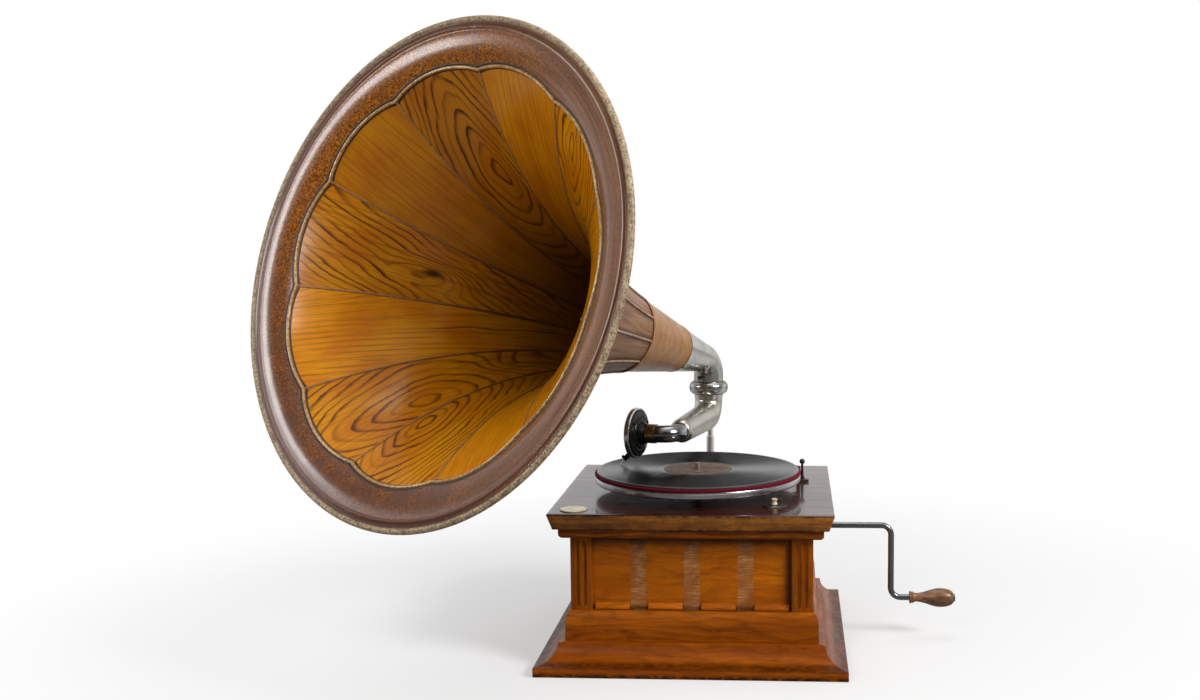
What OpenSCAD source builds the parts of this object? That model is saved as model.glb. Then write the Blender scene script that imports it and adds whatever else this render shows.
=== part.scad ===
// Table gramophone with an outside wooden horn, in millimetres.
// The origin is the centre of the underside of the case: +X to the crank, +Y to the back, +Z up.

/* [Case] */
// Width over the corner posts
body_w = 282; // [260:1:330]
// Depth over the corner posts
body_d = 273; // [260:1:320]
// Thickness of the bottom board
board_t = 9; // [6:0.5:14]
// Height of the plinth moulding
plinth_h = 33.5; // [24:0.5:45]
// Height of the upright foot of the plinth
foot_h = 11; // [6:0.5:16]
// How far the foot of the plinth stands out from the posts
foot_out = 39.5; // [28:0.5:50]
// How far the top edge of the plinth stands out from the posts
cove_out = 13.7; // [8:0.1:20]
// Height of the base rail
rail_h = 35.5; // [24:0.5:45]
// Height of the flat face of the base rail
fascia_h = 17.5; // [8:0.5:22]
// How far the base rail stands out from the posts
rail_out = 6.2; // [3:0.1:10]
// Height of the open wall between base rail and cornice
wall_h = 86.5; // [80:0.5:110]
// Height of the cornice
cornice_h = 12; // [8:0.5:18]
// How far the cornice stands out from the posts
cornice_out = 12; // [7:0.5:18]
// Radius of the lower edge of the cornice
cornice_round = 6; // [2:0.5:6.5]
// Thickness of the deck
deck_t = 19; // [12:0.5:24]
// How far the top edge of the deck stands out from the posts
deck_out = 24; // [18:0.5:32]
// How far the lower edge of the deck is set in from its top edge
deck_bevel = 6.2; // [2:0.1:10]
// Width of a corner post
post_w = 25; // [20:0.5:32]
// Thickness of a wall panel
panel_t = 10; // [6:0.5:14]
// Depth of a wall panel behind the post faces
panel_recess = 8; // [5:0.5:10]
// Width of a flute in a corner post
flute_w = 5; // [2:0.5:6]
// Plain height above and below the flutes
flute_margin = 5; // [2:0.5:15]
// Width of a strip at the foot of the front panel
strip_w = 40; // [30:0.5:50]
// Distance of the outer strips from the corner posts
strip_in = 3; // [1:0.5:8]
// Height of a strip
strip_h = 7; // [4:0.5:12]
// Number of strips
strip_count = 4; // [2:1:4]
// Diameter of the roundel
roundel_d = 32; // [24:1:40]
// Height of the roundel
roundel_t = 1.6; // [0.8:0.1:3]
// Distance of the roundel's centre from the side and front edges of the deck
roundel_in = 28; // [20:0.5:34]

/* [Turntable] */
// Distance of the spindle in front of the case's middle
spindle_front = 11; // [0:0.5:30]
// Diameter of the spindle in its bearings
spindle_d = 8; // [6:0.5:10]
// Diameter of the pin that a record fits on
record_pin_d = 7.2; // [6:0.1:7.6]
// Height of the pin above the record
record_pin_h = 7; // [4:0.5:12]
// Diameter of the platter
platter_d = 254; // [230:1:256]
// Height of the platter's rim
platter_h = 8; // [6:0.5:14]
// Thickness of the platter's plate
platter_t = 2.6; // [1.5:0.1:5]
// Gap between deck and platter
platter_gap = 13; // [8:0.5:16]
// How far the felt mat stands out past the platter
mat_over = 0.5; // [0:0.1:1]
// Thickness of the felt mat
mat_t = 3.8; // [1:0.1:5]
// Distance of the record's edge inside the platter's edge
record_in = 2; // [0:0.5:38]
// Thickness of the record
record_t = 2; // [1.5:0.1:3]
// Diameter of the record's label
label_d = 84; // [60:1:100]
// Thickness of the record's label
label_t = 0.2; // [0.1:0.05:0.3]

/* [Deck fittings] */
// Distance of the speed knob from the case's right side
speed_side = 45; // [31:0.5:51]
// Distance of the speed knob from the case's front
speed_in = 33.5; // [25:0.5:38]
// Diameter of the speed plate
speed_plate_d = 28; // [20:0.5:36]
// Thickness of the speed plate
speed_plate_t = 1.2; // [0.8:0.1:3]
// Diameter of the speed knob
speed_knob_d = 7; // [5:0.5:9]
// Height of the speed knob
speed_knob_h = 7.5; // [5:0.5:10]
// Direction of the brake from the spindle, counted from the right
brake_turn = 25; // [15:1:35]
// Gap between the brake shoe and the platter
brake_gap = 2; // [1:0.1:4]
// Diameter of the brake's ball knob
brake_ball_d = 7; // [5:0.5:10]

/* [Motor] */
// Gap between the motor plates and the right panel
motor_gap = 5; // [3:0.5:9]
// Teeth of a pinion
pinion_teeth = 12; // [10:1:12]
// Teeth of the great wheel on the spring barrel
great_teeth = 72; // [66:1:74]
// Teeth of the winding wheel
winding_teeth = 36; // [32:1:40]
// Diameter of the spring barrel
barrel_d = 90; // [70:1:96]
// Height of the spring barrel's drum
barrel_h = 36; // [25:0.5:42]
// Diameter of the barrel arbor
arbor_d = 10; // [8:0.5:12]
// Thickness of the motor plates
plate_t = 3; // [2:0.5:4]
// Height of the spacers between deck and motor
spacer_h = 12; // [8:0.5:16]
// Gap between the base rail's top and the motor's base plate
motor_drop = 1; // [0:0.5:6]
// Diameter of the governor disc
governor_d = 32; // [24:1:36]
// Diameter of a governor weight
weight_d = 11; // [8:0.5:13]

/* [Crank] */
// Height of the crank shaft above the table
crank_z = 141; // [138:0.5:143]
// Diameter of the crank rod
rod_d = 7.6; // [7:0.2:9]
// Distance from the post face to the crank's arm
crank_out = 98.6; // [60:0.2:120]
// Radius of the crank's turn, from shaft to grip
crank_throw = 91; // [70:0.5:110]
// Bend radius of the crank rod
crank_bend = 12; // [9:0.5:18]
// Distance from the crank's arm to the grip
grip_gap = 22.5; // [18:0.5:30]
// Length of the grip
grip_l = 55; // [45:0.5:70]
// Largest diameter of the grip
grip_d = 23.4; // [18:0.1:30]

/* [Back bracket] */
// Distance of the swivel behind the back posts
pivot_back = 50; // [40:0.5:60]
// Distance of the swivel to the right of the case's middle
pivot_x = 2.2; // [-5:0.1:5]
// Diameter of the bracket's rod
bracket_d = 10.6; // [8:0.1:14]
// Diameter of the upper length of the bracket's rod
bracket_top_d = 8; // [6:0.1:8]
// Height at which the bracket's rod steps down
bracket_step = 217; // [200:1:260]
// Height of the bracket's foot above the table
foot_z = 112; // [105:0.5:118]
// Width and height of the bracket's foot
foot_w = 56; // [44:1:64]
// Bend radius of the bracket's rod
bracket_bend = 20; // [12:0.5:30]
// Diameter of the swivel ring
ring_d = 52.6; // [48:0.2:60]
// Height of the swivel ring
ring_h = 17.6; // [15:0.2:22]
// Height of the ring's underside above the table
ring_z = 281.7; // [279:0.1:286]
// Diameter of the sound tube at the ring
tube_d = 40; // [38:0.2:42]
// Wall of the sound tubes
tube_t = 2; // [1.2:0.1:2.4]

/* [Horn] */
// Direction of the horn, turned from straight ahead to the left
horn_turn = 32.3; // [0:0.1:50]
// Upward slope of the horn
horn_rise = 15.4; // [8:0.1:25]
// Height at which the horn's axis meets the swivel's axis
horn_z = 328.5; // [326:0.2:340]
// Bend radius of the elbow
elbow_bend = 27; // [25:0.5:30]
// Distance from the swivel's axis to the sleeve, along the horn
sleeve_at = 83; // [70:0.1:95]
// Length of the sleeve
sleeve_l = 114.7; // [90:0.1:140]
// Distance from the swivel's axis to the mouth, along the horn
mouth_at = 540.9; // [500:0.2:580]
// Inside diameter of the sleeve at the elbow
sleeve_d = 57; // [54:0.5:62]
// Inside diameter of the horn at the band
band_d = 97.4; // [85:0.2:110]
// Inside diameter at which the panels' scallops meet
scallop_d = 455; // [420:1:480]
// Distance of the scallops behind the mouth
scallop_in = 19.7; // [14:0.1:26]
// Height of a scallop's arch above its chord
scallop_rise = 15; // [11:0.5:20]
// Width of the rim, from the scallops' meeting points to the outside of the rolled edge
rim_reach = 54; // [44:0.5:64]
// Diameter of the rolled edge
roll_d = 7; // [6:0.5:12]
// Wall of the horn
horn_t = 3; // [2:0.1:4]
// Growth of the flare for each millimetre of length
flare_rate = 0.0055; // [0.003:0.0001:0.008]
// Number of panels
panel_count = 11; // [8:1:14]
// Turn of the first seam about the horn
seam_turn = 87; // [0:1:360]
// Width of an outside rib
rib_w = 3; // [1.5:0.1:5]
// Height of an outside rib
rib_h = 1.6; // [0.8:0.1:3]
// Length of the band over the sleeve's wide end
band_l = 8; // [4:0.5:14]

/* [Tone arm] */
// Direction of the tone arm, turned from straight ahead to the left
arm_turn = 10.5; // [6:0.1:14]
// Height of the tone arm's axis above the table
arm_z = 252; // [250:0.5:256]
// Bend radius of the tone arm
arm_bend = 23; // [20:0.5:24]
// Length of the tone arm from the swivel's axis to its tip
arm_l = 143; // [120:0.5:150]
// Diameter of the tone arm after its bend
arm_d = 37.4; // [34:0.2:38]
// Diameter of the tone arm's tip
arm_tip_d = 31; // [26:0.5:34]
// Diameter of the gooseneck
neck_d = 22; // [18:0.5:23]
// Bend radius of the gooseneck
neck_bend = 20; // [16:0.5:24]
// Turn of the gooseneck to the left
neck_turn = 97.1; // [85:0.1:110]
// Distance from the swivel's axis to the corner of the gooseneck
neck_at = 180.1; // [170:0.1:190]
// Distance from the gooseneck's corner to the middle of the sound box
box_reach = 51.9; // [49:0.1:56]
// Diameter of the sound box
box_d = 64; // [56:0.5:68]
// Lean of the needle bar out of the upright
needle_lean = 18.6; // [10:0.2:30]
// Distance of the needle's tip in front of the sound box's middle
needle_out = 16.3; // [13:0.1:20]
// Diameter of the needle
needle_d = 1.4; // [1:0.1:2]

/* [Fits] */
// Clearance of a turning fit on the radius
run_gap = 0.05; // [0.02:0.01:0.1]
// Clearance between pieces that pass each other
seat_gap = 0.3; // [0.3:0.05:0.6]

/* [Hidden] */
$fn = 64;

// Far enough to pass through anything that is cut
past = 1;
// A drawn bend is this much thinner than the straight rod or tube it joins
bend_ease = 0.1;
// A straight length runs this far into the bend that follows it
bend_join = 0.2;

// Levels of the case
z_rail = plinth_h;
z_wall = z_rail + rail_h;
z_cornice = z_wall + wall_h;
z_deck = z_cornice + cornice_h;
z_top = z_deck + deck_t;
half_w = body_w / 2;
half_d = body_d / 2;
wall_t = panel_t + panel_recess;

// Turntable
spindle_y = -spindle_front;
platter_z = z_top + platter_gap;
mat_z = platter_z + platter_h;
record_z = mat_z + mat_t;
record_top = record_z + record_t;
mat_d = platter_d + 2 * mat_over;
record_d = platter_d - 2 * record_in;
hub_d = spindle_d + 14;

// Gears: the great wheel and the spindle's pinion fill the room from the spindle to the plate's edge
plate_x1 = half_w - wall_t - motor_gap;
plate_edge = 0.8;
train_room = plate_x1 - plate_edge;
tip_part = 0.8;
mesh_teeth = (pinion_teeth + great_teeth) / 2;
edge_teeth = great_teeth / 2 + tip_part;
teeth_left = pow(mesh_teeth, 2) - pow(edge_teeth, 2);
room_teeth = train_room * edge_teeth;
tooth_m = (sqrt(pow(room_teeth, 2) + teeth_left * (pow(train_room, 2) + pow(spindle_y, 2))) - room_teeth)
          / teeth_left;
pinion_r = tooth_m * pinion_teeth / 2;
great_r = tooth_m * great_teeth / 2;
winding_r = tooth_m * winding_teeth / 2;
tooth_tip = tip_part * tooth_m;
tooth_root = tooth_m;
pinion_w = 5;

// Motor
z_plate = z_deck - spacer_h - plate_t;
z_base = z_wall + motor_drop;
z_train = z_base + plate_t + seat_gap;
gear_w = 7;
barrel_x = sqrt(pow(great_r + pinion_r, 2) - pow(spindle_y, 2));
barrel_wall = 2;
plate_x0 = -56;
plate_half_d = 70;
pillar_d = 10;
bolt_d = 5;
bolt_head_d = 10;
bolt_head_h = 2.5;
pillar_in = 8;
pillar_right_in = 18;
pillar_y = plate_half_d - pillar_in;
pillar_places = [[plate_x0 + pillar_in, pillar_y], [plate_x1 - pillar_right_in, pillar_y],
                 [plate_x0 + pillar_in, -pillar_y], [plate_x1 - pillar_right_in, -pillar_y]];
worm_r = 4;
worm_wheel_r = 14;
governor_x = -(worm_wheel_r + worm_r + 2 * seat_gap);
governor_z = z_plate - governor_d / 2 - 6;
governor_d_shaft = 4;
governor_half = plate_half_d - 12;
disc_y = 14 - governor_half;
disc_t = 2.5;
bearing_t = 6;
collar_near = 18;
collar_far = 48;
bearing_x = barrel_x + winding_r + 12;
winding_z = crank_z - pinion_r;

// Speed regulator
speed_x = half_w - speed_side;
speed_y = speed_in - half_d;
speed_shaft_d = 4;
cam_d = 10;
cam_throw = 2;
lever_t = 2;
lever_h = 8;
cam_slack = 0.8;
ear_in = 20;
lever_x = speed_x - cam_d / 2 + cam_throw - cam_slack;
pad_t = 2.5;
lever_y = disc_y - seat_gap - pad_t - lever_t;

// Brake, seen along its own line from the spindle
shoe_t = 5;
brake_r = platter_d / 2 + brake_gap;
brake_plate_t = 3;
brake_post_r = brake_r + shoe_t + 9;
brake_pivot = [brake_post_r + 3, 16];
brake_screw_d = 4;
brake_z = z_top + seat_gap;

// Crank
shaft_end = barrel_x + winding_r - pinion_w / 2;
arm_x = half_w + crank_out;
grip_z = crank_z - crank_throw;
grip_x = arm_x + grip_gap;
grip_pin_d = 6;
escutcheon_d = 18;
escutcheon_flange_d = 2 * (z_cornice - crank_z) - 1;
escutcheon_flange_t = 2.5;

// Swivel and bracket
pivot_y = half_d + pivot_back;
ring_top = ring_z + ring_h;
ring_round = 0.42 * ring_h;
ring_ledge = 0.4 * ring_h;
lug_y = pivot_y + ring_d / 2 + bracket_d / 2 + 2;
lug_d = bracket_top_d + 8;
spigot_r = tube_d / 2 - 2;
neck_spigot_r = spigot_r - 2;
flange_t = 1.6;

// Horn, measured along its axis from the swivel's axis
elbow_angle = 90 - horn_rise;
elbow_tangent = elbow_bend * tan(elbow_angle / 2);
elbow_r = tube_d / 2;
band_at = sleeve_at + sleeve_l;
scallop_at = mouth_at - scallop_in;
panel_angle = 360 / panel_count;
seam_gap = run_gap / band_d * 360 / PI / 2;
flare_amp = (scallop_d - band_d) / 2 / (exp(flare_rate * (scallop_at - band_at)) - 1);
flare_base = band_d / 2 - flare_amp;
mouth_d = scallop_d + 2 * rim_reach;
lip_r = mouth_d / 2 - roll_d / 2;
lip_start = atan(flare_amp * flare_rate * exp(flare_rate * (scallop_at - band_at)));
lip_chord = atan2(lip_r - scallop_d / 2, scallop_in - roll_d / 2);
lip_span = norm([lip_r - scallop_d / 2, scallop_in - roll_d / 2]);
lip_angle = 2 * (lip_chord - lip_start);
lip_bend = lip_span / 2 / sin(lip_angle / 2);
scallop_half = scallop_d / 2 * sin(panel_angle / 2);
scallop_r = (pow(scallop_half, 2) + pow(scallop_rise, 2)) / 2 / scallop_rise;
scallop_centre = scallop_d / 2 * cos(panel_angle / 2) + scallop_rise - scallop_r;
spigot_l = 16;

// Tone arm and sound box
neck_tangent = neck_bend * tan(neck_turn / 2);
neck_in = 20;
neck_spigot_d = neck_d - 2;
box_t = 9;
ring_front = 4;
ring_back = 3;
box_lip = 2;
membrane_t = 0.6;
disc_gap = membrane_t + run_gap;
boss_l = 8;
collar_l = 11;
collar_d = neck_d + 2.4;
boss_from = box_reach - box_t + 1 - boss_l;
collar_from = boss_from - collar_l;
tip_drop = arm_z - record_top - label_t - seat_gap;
needle_reach = tip_drop / cos(needle_lean);
bar_w = 5;
bar_t = 3;
bar_z = ring_front + 2;
holder_reach = box_d / 2 + 1;
holder_l = 8;
holder_d = bar_w + 1;
needle_from = holder_reach - 4.5;
needle_drop = needle_reach - needle_from;
needle_rise = needle_out - bar_z - bar_t / 2;

// Points on an ellipse arc in the plane
function arc(cx, cy, rx, ry, from, to, steps) =
    [for (i = [0 : steps]) let (a = from + (to - from) * i / steps) [cx + rx * cos(a), cy + ry * sin(a)]];

// Inner wall of the flaring panels: [distance along the horn, radius, slope]
function flare_point(at) = let (grown = flare_amp * exp(flare_rate * (at - band_at)))
    [at, flare_base + grown, atan(grown * flare_rate)];

// Inner wall of the rim, an arc that starts with the slope of the panels
function lip_point(a) =
    [scallop_at + lip_bend * (sin(lip_start + a) - sin(lip_start)),
     scallop_d / 2 + lip_bend * (cos(lip_start) - cos(lip_start + a)),
     lip_start + a];

// A wall point moved square off the inner wall, as [radius, distance along the horn]
function off_wall(p, t) = [p[1] + t * cos(p[2]), p[0] - t * sin(p[2])];

flare_steps = 14;
lip_steps = 6;
flare_wall = [for (i = [0 : flare_steps]) flare_point(band_at + (scallop_at - band_at) * i / flare_steps)];
lip_wall = [for (i = [1 : lip_steps]) lip_point(lip_angle * i / lip_steps)];
horn_wall = concat(flare_wall, lip_wall);
sleeve_edge = off_wall(flare_wall[0], horn_t);

// A closed strip between two distances off a wall
function strip(wall, t0, t1) =
    concat([for (p = wall) off_wall(p, t0)], [for (i = [len(wall) - 1 : -1 : 0]) off_wall(wall[i], t1)]);

// Outline of a spur gear with straight-sided teeth
function gear_outline(teeth, r) = [
    for (i = [0 : teeth - 1], p = [[r - tooth_root, -0.62], [r + tooth_tip, -0.38],
                                   [r + tooth_tip, 0.38], [r - tooth_root, 0.62]])
        let (a = 360 * i / teeth, y = p[1] * tooth_m)
        [p[0] * cos(a) - y * sin(a), p[0] * sin(a) + y * cos(a)]
];

// One mitred length of moulding: a profile of [distance out, height] along a side of a frame
module moulding_length(half_l, face, reach) {
    span = half_l + reach;
    apex = half_l - face - run_gap;
    intersection() {
        translate([0, -face, 0])
            rotate([90, 0, -90])
                linear_extrude(2 * span, center = true)
                    children();
        linear_extrude(z_top)
            polygon([[0, apex], [-2 * span, apex - 2 * span], [2 * span, apex - 2 * span]]);
    }
}

module moulding_frame(reach) {
    for (turn = [0, 180])
        rotate(turn)
            moulding_length(half_w, half_d, reach)
                children();
    for (turn = [-90, 90])
        rotate(turn)
            moulding_length(half_d, half_w, reach)
                children();
}

// A wall board between two posts, its face towards -Y, with the sunk field of its panel
module wall_board(l) {
    difference() {
        translate([-l / 2, 0, board_t])
            cube([l, wall_t, z_deck - board_t]);
        translate([-l / 2 - past, -past, z_wall])
            cube([l + 2 * past, panel_recess + past, wall_h]);
    }
}

module on_spindle() {
    translate([0, spindle_y, 0])
        children();
}

module on_barrel() {
    translate([barrel_x, 0, 0])
        children();
}

module along_x(x, y, z) {
    translate([x, y, z])
        rotate([0, 90, 0])
            children();
}

module along_y(x, y, z) {
    translate([x, y, z])
        rotate([-90, 0, 0])
            children();
}

module on_brake() {
    on_spindle()
        rotate(brake_turn)
            children();
}

// The swivel's frame turned to the horn: the horn leaves towards -Y
module on_elbow() {
    translate([pivot_x, pivot_y, 0])
        rotate(-horn_turn)
            children();
}

// The horn's own frame: +Z runs from the swivel to the mouth
module on_horn() {
    on_elbow()
        translate([0, 0, horn_z])
            rotate([90 - horn_rise, 0, 0])
                children();
}

module on_seams() {
    for (i = [0 : panel_count - 1])
        rotate(seam_turn + i * panel_angle)
            children();
}

// The tone arm's frame: the arm runs towards -Y at the height of its axis
module on_arm() {
    translate([pivot_x, pivot_y, arm_z])
        rotate(-arm_turn)
            children();
}

// The sound box's frame: +Z runs from the gooseneck's corner out through the sound box
module on_box(at) {
    on_arm()
        translate([0, -neck_at, 0])
            rotate([90, 0, -neck_turn])
                translate([0, 0, at])
                    children();
}

// A bend of a round bar about +X, from +Y round to +Z
module bend(r, radius, angle) {
    rotate([90, 0, 90])
        rotate_extrude(angle = angle)
            translate([radius, 0])
                circle(r - bend_ease);
}

module bottom_board() {
    color("saddlebrown")
        translate([-half_w, -half_d, 0])
            cube([body_w, body_d, board_t]);
}

module plinth() {
    color("peru")
        moulding_frame(foot_out)
            polygon(concat([[0, 0], [foot_out, 0]],
                           arc(foot_out, plinth_h, cove_out - foot_out, foot_h - plinth_h, 90, 0, 8),
                           [[0, plinth_h]]));
}

module base_rails() {
    color("peru")
        moulding_frame(rail_out)
            polygon(concat([[0, z_rail], [rail_out, z_rail]],
                           arc(0, z_rail + fascia_h, rail_out, rail_h - fascia_h, 0, 90, 8)));
}

module corner_posts() {
    flute_z = z_wall + flute_margin;
    flute_l = wall_h - 2 * flute_margin;
    color("sienna")
        for (sx = [-1, 1], sy = [-1, 1])
            translate([sx * (half_w - post_w / 2), sy * (half_d - post_w / 2), 0])
                difference() {
                    translate([-post_w / 2, -post_w / 2, board_t])
                        cube([post_w, post_w, z_deck - board_t]);
                    for (side = [-post_w / 6, post_w / 6]) {
                        translate([side, sy * post_w / 2, flute_z])
                            cylinder(h = flute_l, d = flute_w);
                        translate([sx * post_w / 2, side, flute_z])
                            cylinder(h = flute_l, d = flute_w);
                    }
                }
}

module front_panel() {
    color("goldenrod")
        translate([0, -half_d, 0])
            wall_board(body_w - 2 * post_w);
}

module back_panel() {
    color("goldenrod")
        difference() {
            translate([0, half_d, 0])
                rotate(180)
                    wall_board(body_w - 2 * post_w);
            bracket_screw_places()
                cylinder(h = wall_t, d = bolt_d - 1, center = true);
        }
}

module left_panel() {
    color("goldenrod")
        translate([-half_w, 0, 0])
            rotate(-90)
                wall_board(body_d - 2 * post_w);
}

module right_panel() {
    color("goldenrod")
        difference() {
            translate([half_w, 0, 0])
                rotate(90)
                    wall_board(body_d - 2 * post_w);
            along_x(half_w - wall_t - past, 0, crank_z)
                cylinder(h = wall_t + 2 * past, d = escutcheon_d + 2 * run_gap);
        }
}

module panel_strips() {
    first = body_w / 2 - post_w - strip_in - strip_w / 2;
    pitch = 2 * first / (strip_count - 1);
    side = strip_h / 2;
    color("peru")
        for (i = [0 : strip_count - 1])
            translate([i * pitch - first, panel_recess - half_d, z_wall])
                rotate([90, 0, -90])
                    linear_extrude(strip_w, center = true)
                        polygon([[0, 0], [side + 1, 0], [side + 1, strip_h / 3], [1, strip_h], [0, strip_h]]);
}

module cornice() {
    color("peru")
        moulding_frame(cornice_out)
            polygon(concat([[0, z_cornice]],
                           arc(cornice_out - cornice_round, z_cornice + cornice_round,
                               cornice_round, cornice_round, -90, 0, 6),
                           [[cornice_out, z_deck], [0, z_deck]]));
}

module deck_side(half, depth) {
    rotate([90, 0, 0])
        linear_extrude(depth, center = true)
            polygon([[deck_bevel - half, z_deck], [half - deck_bevel, z_deck],
                     [half, z_top], [-half, z_top]]);
}

module deck() {
    deck_half_w = half_w + deck_out;
    deck_half_d = half_d + deck_out;
    color("saddlebrown")
        difference() {
            intersection() {
                deck_side(deck_half_w, 2 * deck_half_d);
                rotate(90)
                    deck_side(deck_half_d, 2 * deck_half_w);
            }
            on_spindle()
                translate([0, 0, z_deck - past])
                    cylinder(h = deck_t + 2 * past, d = spindle_d + 8);
            for (place = pillar_places)
                translate([place[0], place[1], z_deck - past]) {
                    cylinder(h = deck_t + 2 * past, d = bolt_d + 2 * run_gap);
                    translate([0, 0, past + deck_t - bolt_head_h])
                        cylinder(h = bolt_head_h + past, d = bolt_head_d + 2 * run_gap);
                }
            translate([speed_x, speed_y, z_deck - past])
                cylinder(h = deck_t + 2 * past, d = speed_shaft_d + 2 * run_gap);
            on_brake()
                translate([brake_pivot[0], brake_pivot[1], z_deck + deck_t / 3])
                    cylinder(h = deck_t, d = brake_screw_d + 2 * run_gap);
        }
}

module roundel() {
    edge = roundel_t / 2;
    color("ivory")
        translate([roundel_in - half_w - deck_out, roundel_in - half_d - deck_out, z_top])
            rotate_extrude()
                polygon([[0, 0], [roundel_d / 2, 0], [roundel_d / 2, edge], [roundel_d / 2 - edge, roundel_t],
                         [0, roundel_t]]);
}

module crank_escutcheon() {
    face = half_w - panel_recess;
    color("silver")
        difference() {
            union() {
                along_x(face - panel_t, 0, crank_z)
                    cylinder(h = panel_t, d = escutcheon_d);
                along_x(face, 0, crank_z)
                    cylinder(h = escutcheon_flange_t, d = escutcheon_flange_d);
            }
            along_x(face - panel_t - past, 0, crank_z)
                cylinder(h = panel_t + escutcheon_flange_t + 2 * past, d = rod_d + 2 * run_gap);
        }
}

module speed_plate() {
    color("silver")
        translate([speed_x, speed_y, z_top])
            difference() {
                cylinder(h = speed_plate_t, d = speed_plate_d);
                translate([0, 0, -past])
                    cylinder(h = speed_plate_t + 2 * past, d = speed_shaft_d + 2 * run_gap);
            }
}

module speed_knob() {
    foot = z_top + speed_plate_t + seat_gap;
    low = governor_z - lever_h / 2;
    color("antiquewhite")
        translate([speed_x, speed_y, 0])
            union() {
                translate([0, 0, foot])
                    rotate_extrude()
                        polygon([[0, 0], [speed_knob_d / 2, 0], [speed_knob_d / 2 - 1, speed_knob_h / 2],
                                 [speed_knob_d / 2, speed_knob_h * 0.8], [speed_knob_d / 2 - 1, speed_knob_h],
                                 [0, speed_knob_h]]);
                translate([0, 0, low])
                    cylinder(h = foot - low, d = speed_shaft_d);
                translate([cam_throw, 0, low])
                    cylinder(h = lever_h, d = cam_d);
            }
}

module brake_screw() {
    color("darkgray")
        on_brake()
            translate([brake_pivot[0], brake_pivot[1], 0]) {
                translate([0, 0, z_deck + deck_t / 3])
                    cylinder(h = brake_z + brake_plate_t + past - z_deck - deck_t / 3, d = brake_screw_d);
                translate([0, 0, brake_z + brake_plate_t + seat_gap])
                    cylinder(h = 2.5, d = 2 * brake_screw_d);
            }
}

module brake_lever() {
    post_h = platter_h + platter_gap - brake_plate_t + 2;
    shoe_back = brake_r + shoe_t;
    color("dimgray")
        on_brake()
            translate([0, 0, brake_z])
                difference() {
                    union() {
                        translate([brake_pivot[0], brake_pivot[1], 0])
                            cylinder(h = brake_plate_t, d = 14);
                        translate([brake_post_r - 5, -9, 0])
                            cube([10, brake_pivot[1] + 9, brake_plate_t]);
                        translate([shoe_back, -9, 0])
                            cube([brake_post_r - shoe_back, 8, brake_plate_t]);
                        translate([shoe_back, -9, 0])
                            cube([2, 8, platter_gap + platter_h]);
                        translate([brake_post_r, 0, brake_plate_t])
                            cylinder(h = post_h, d1 = 4, d2 = 3);
                        translate([brake_post_r, 0, brake_plate_t + post_h + brake_ball_d / 3])
                            sphere(d = brake_ball_d);
                    }
                    translate([brake_pivot[0], brake_pivot[1], -past])
                        cylinder(h = brake_plate_t + 2 * past, d = brake_screw_d + 2 * run_gap);
                }
}

module brake_shoe() {
    color("tan")
        on_brake()
            difference() {
                translate([brake_r - 4, -9, platter_z])
                    cube([shoe_t + 4, 8, platter_h]);
                translate([0, 0, platter_z - past])
                    cylinder(h = platter_h + 2 * past, r = brake_r, $fn = 360);
            }
}

module motor_plates() {
    color("slategray")
        difference() {
            for (z = [z_base, z_plate])
                translate([plate_x0, -plate_half_d, z])
                    cube([plate_x1 - plate_x0, 2 * plate_half_d, plate_t]);
            on_spindle()
                translate([0, 0, z_base - past])
                    cylinder(h = z_plate - z_base + plate_t + 2 * past, d = spindle_d + 2 * run_gap);
            on_barrel()
                translate([0, 0, z_base - past])
                    cylinder(h = z_plate - z_base + plate_t + 2 * past, d = arbor_d + 2 * run_gap);
            for (place = pillar_places)
                translate([place[0], place[1], z_plate - past])
                    cylinder(h = plate_t + 2 * past, d = bolt_d + 2 * run_gap);
        }
}

module motor_pillars() {
    color("slategray")
        for (place = pillar_places)
            translate([place[0], place[1], 0]) {
                difference() {
                    translate([0, 0, z_base + plate_t])
                        cylinder(h = z_plate - z_base - plate_t, d = pillar_d);
                    translate([0, 0, z_plate - spacer_h])
                        cylinder(h = spacer_h + past, d = bolt_d + 2 * run_gap);
                }
                difference() {
                    translate([0, 0, z_plate + plate_t])
                        cylinder(h = spacer_h, d = pillar_d);
                    translate([0, 0, z_plate + plate_t - past])
                        cylinder(h = spacer_h + 2 * past, d = bolt_d + 2 * run_gap);
                }
            }
}

module motor_bolts() {
    foot = z_plate - spacer_h + past;
    color("darkgray")
        for (place = pillar_places)
            translate([place[0], place[1], 0]) {
                translate([0, 0, foot])
                    cylinder(h = z_top - foot, d = bolt_d);
                translate([0, 0, z_top - bolt_head_h])
                    cylinder(h = bolt_head_h, d = bolt_head_d);
            }
}

module motor_brackets() {
    hang = 2 * bearing_t;
    color("slategray") {
        difference() {
            translate([bearing_x, -hang, crank_z - hang])
                cube([bearing_t, 2 * hang, z_plate - crank_z + hang]);
            along_x(bearing_x - past, 0, crank_z)
                cylinder(h = bearing_t + 2 * past, d = rod_d + 2 * run_gap);
        }
        for (y = [-governor_half, governor_half - bearing_t])
            difference() {
                translate([governor_x - bearing_t, y, governor_z - bearing_t])
                    cube([hang, bearing_t, z_plate - governor_z + bearing_t]);
                along_y(governor_x, y - past, governor_z)
                    cylinder(h = bearing_t + 2 * past, d = governor_d_shaft + 2 * run_gap);
            }
    }
}

module regulator_lever() {
    ear_x = barrel_x - ear_in;
    z = governor_z - lever_h / 2;
    pad_x = governor_x + governor_d / 4;
    color("slategray")
        union() {
            translate([pad_x, lever_y, z])
                cube([lever_x - pad_x, lever_t, lever_h]);
            translate([pad_x, lever_y, z])
                cube([lever_h, lever_t + pad_t, lever_h]);
            translate([lever_x - lever_t, speed_y, z])
                cube([lever_t, lever_y + lever_t - speed_y, lever_h]);
            translate([ear_x, lever_y, z])
                cube([2 * lever_h, lever_t, z_plate - z]);
        }
}

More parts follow.
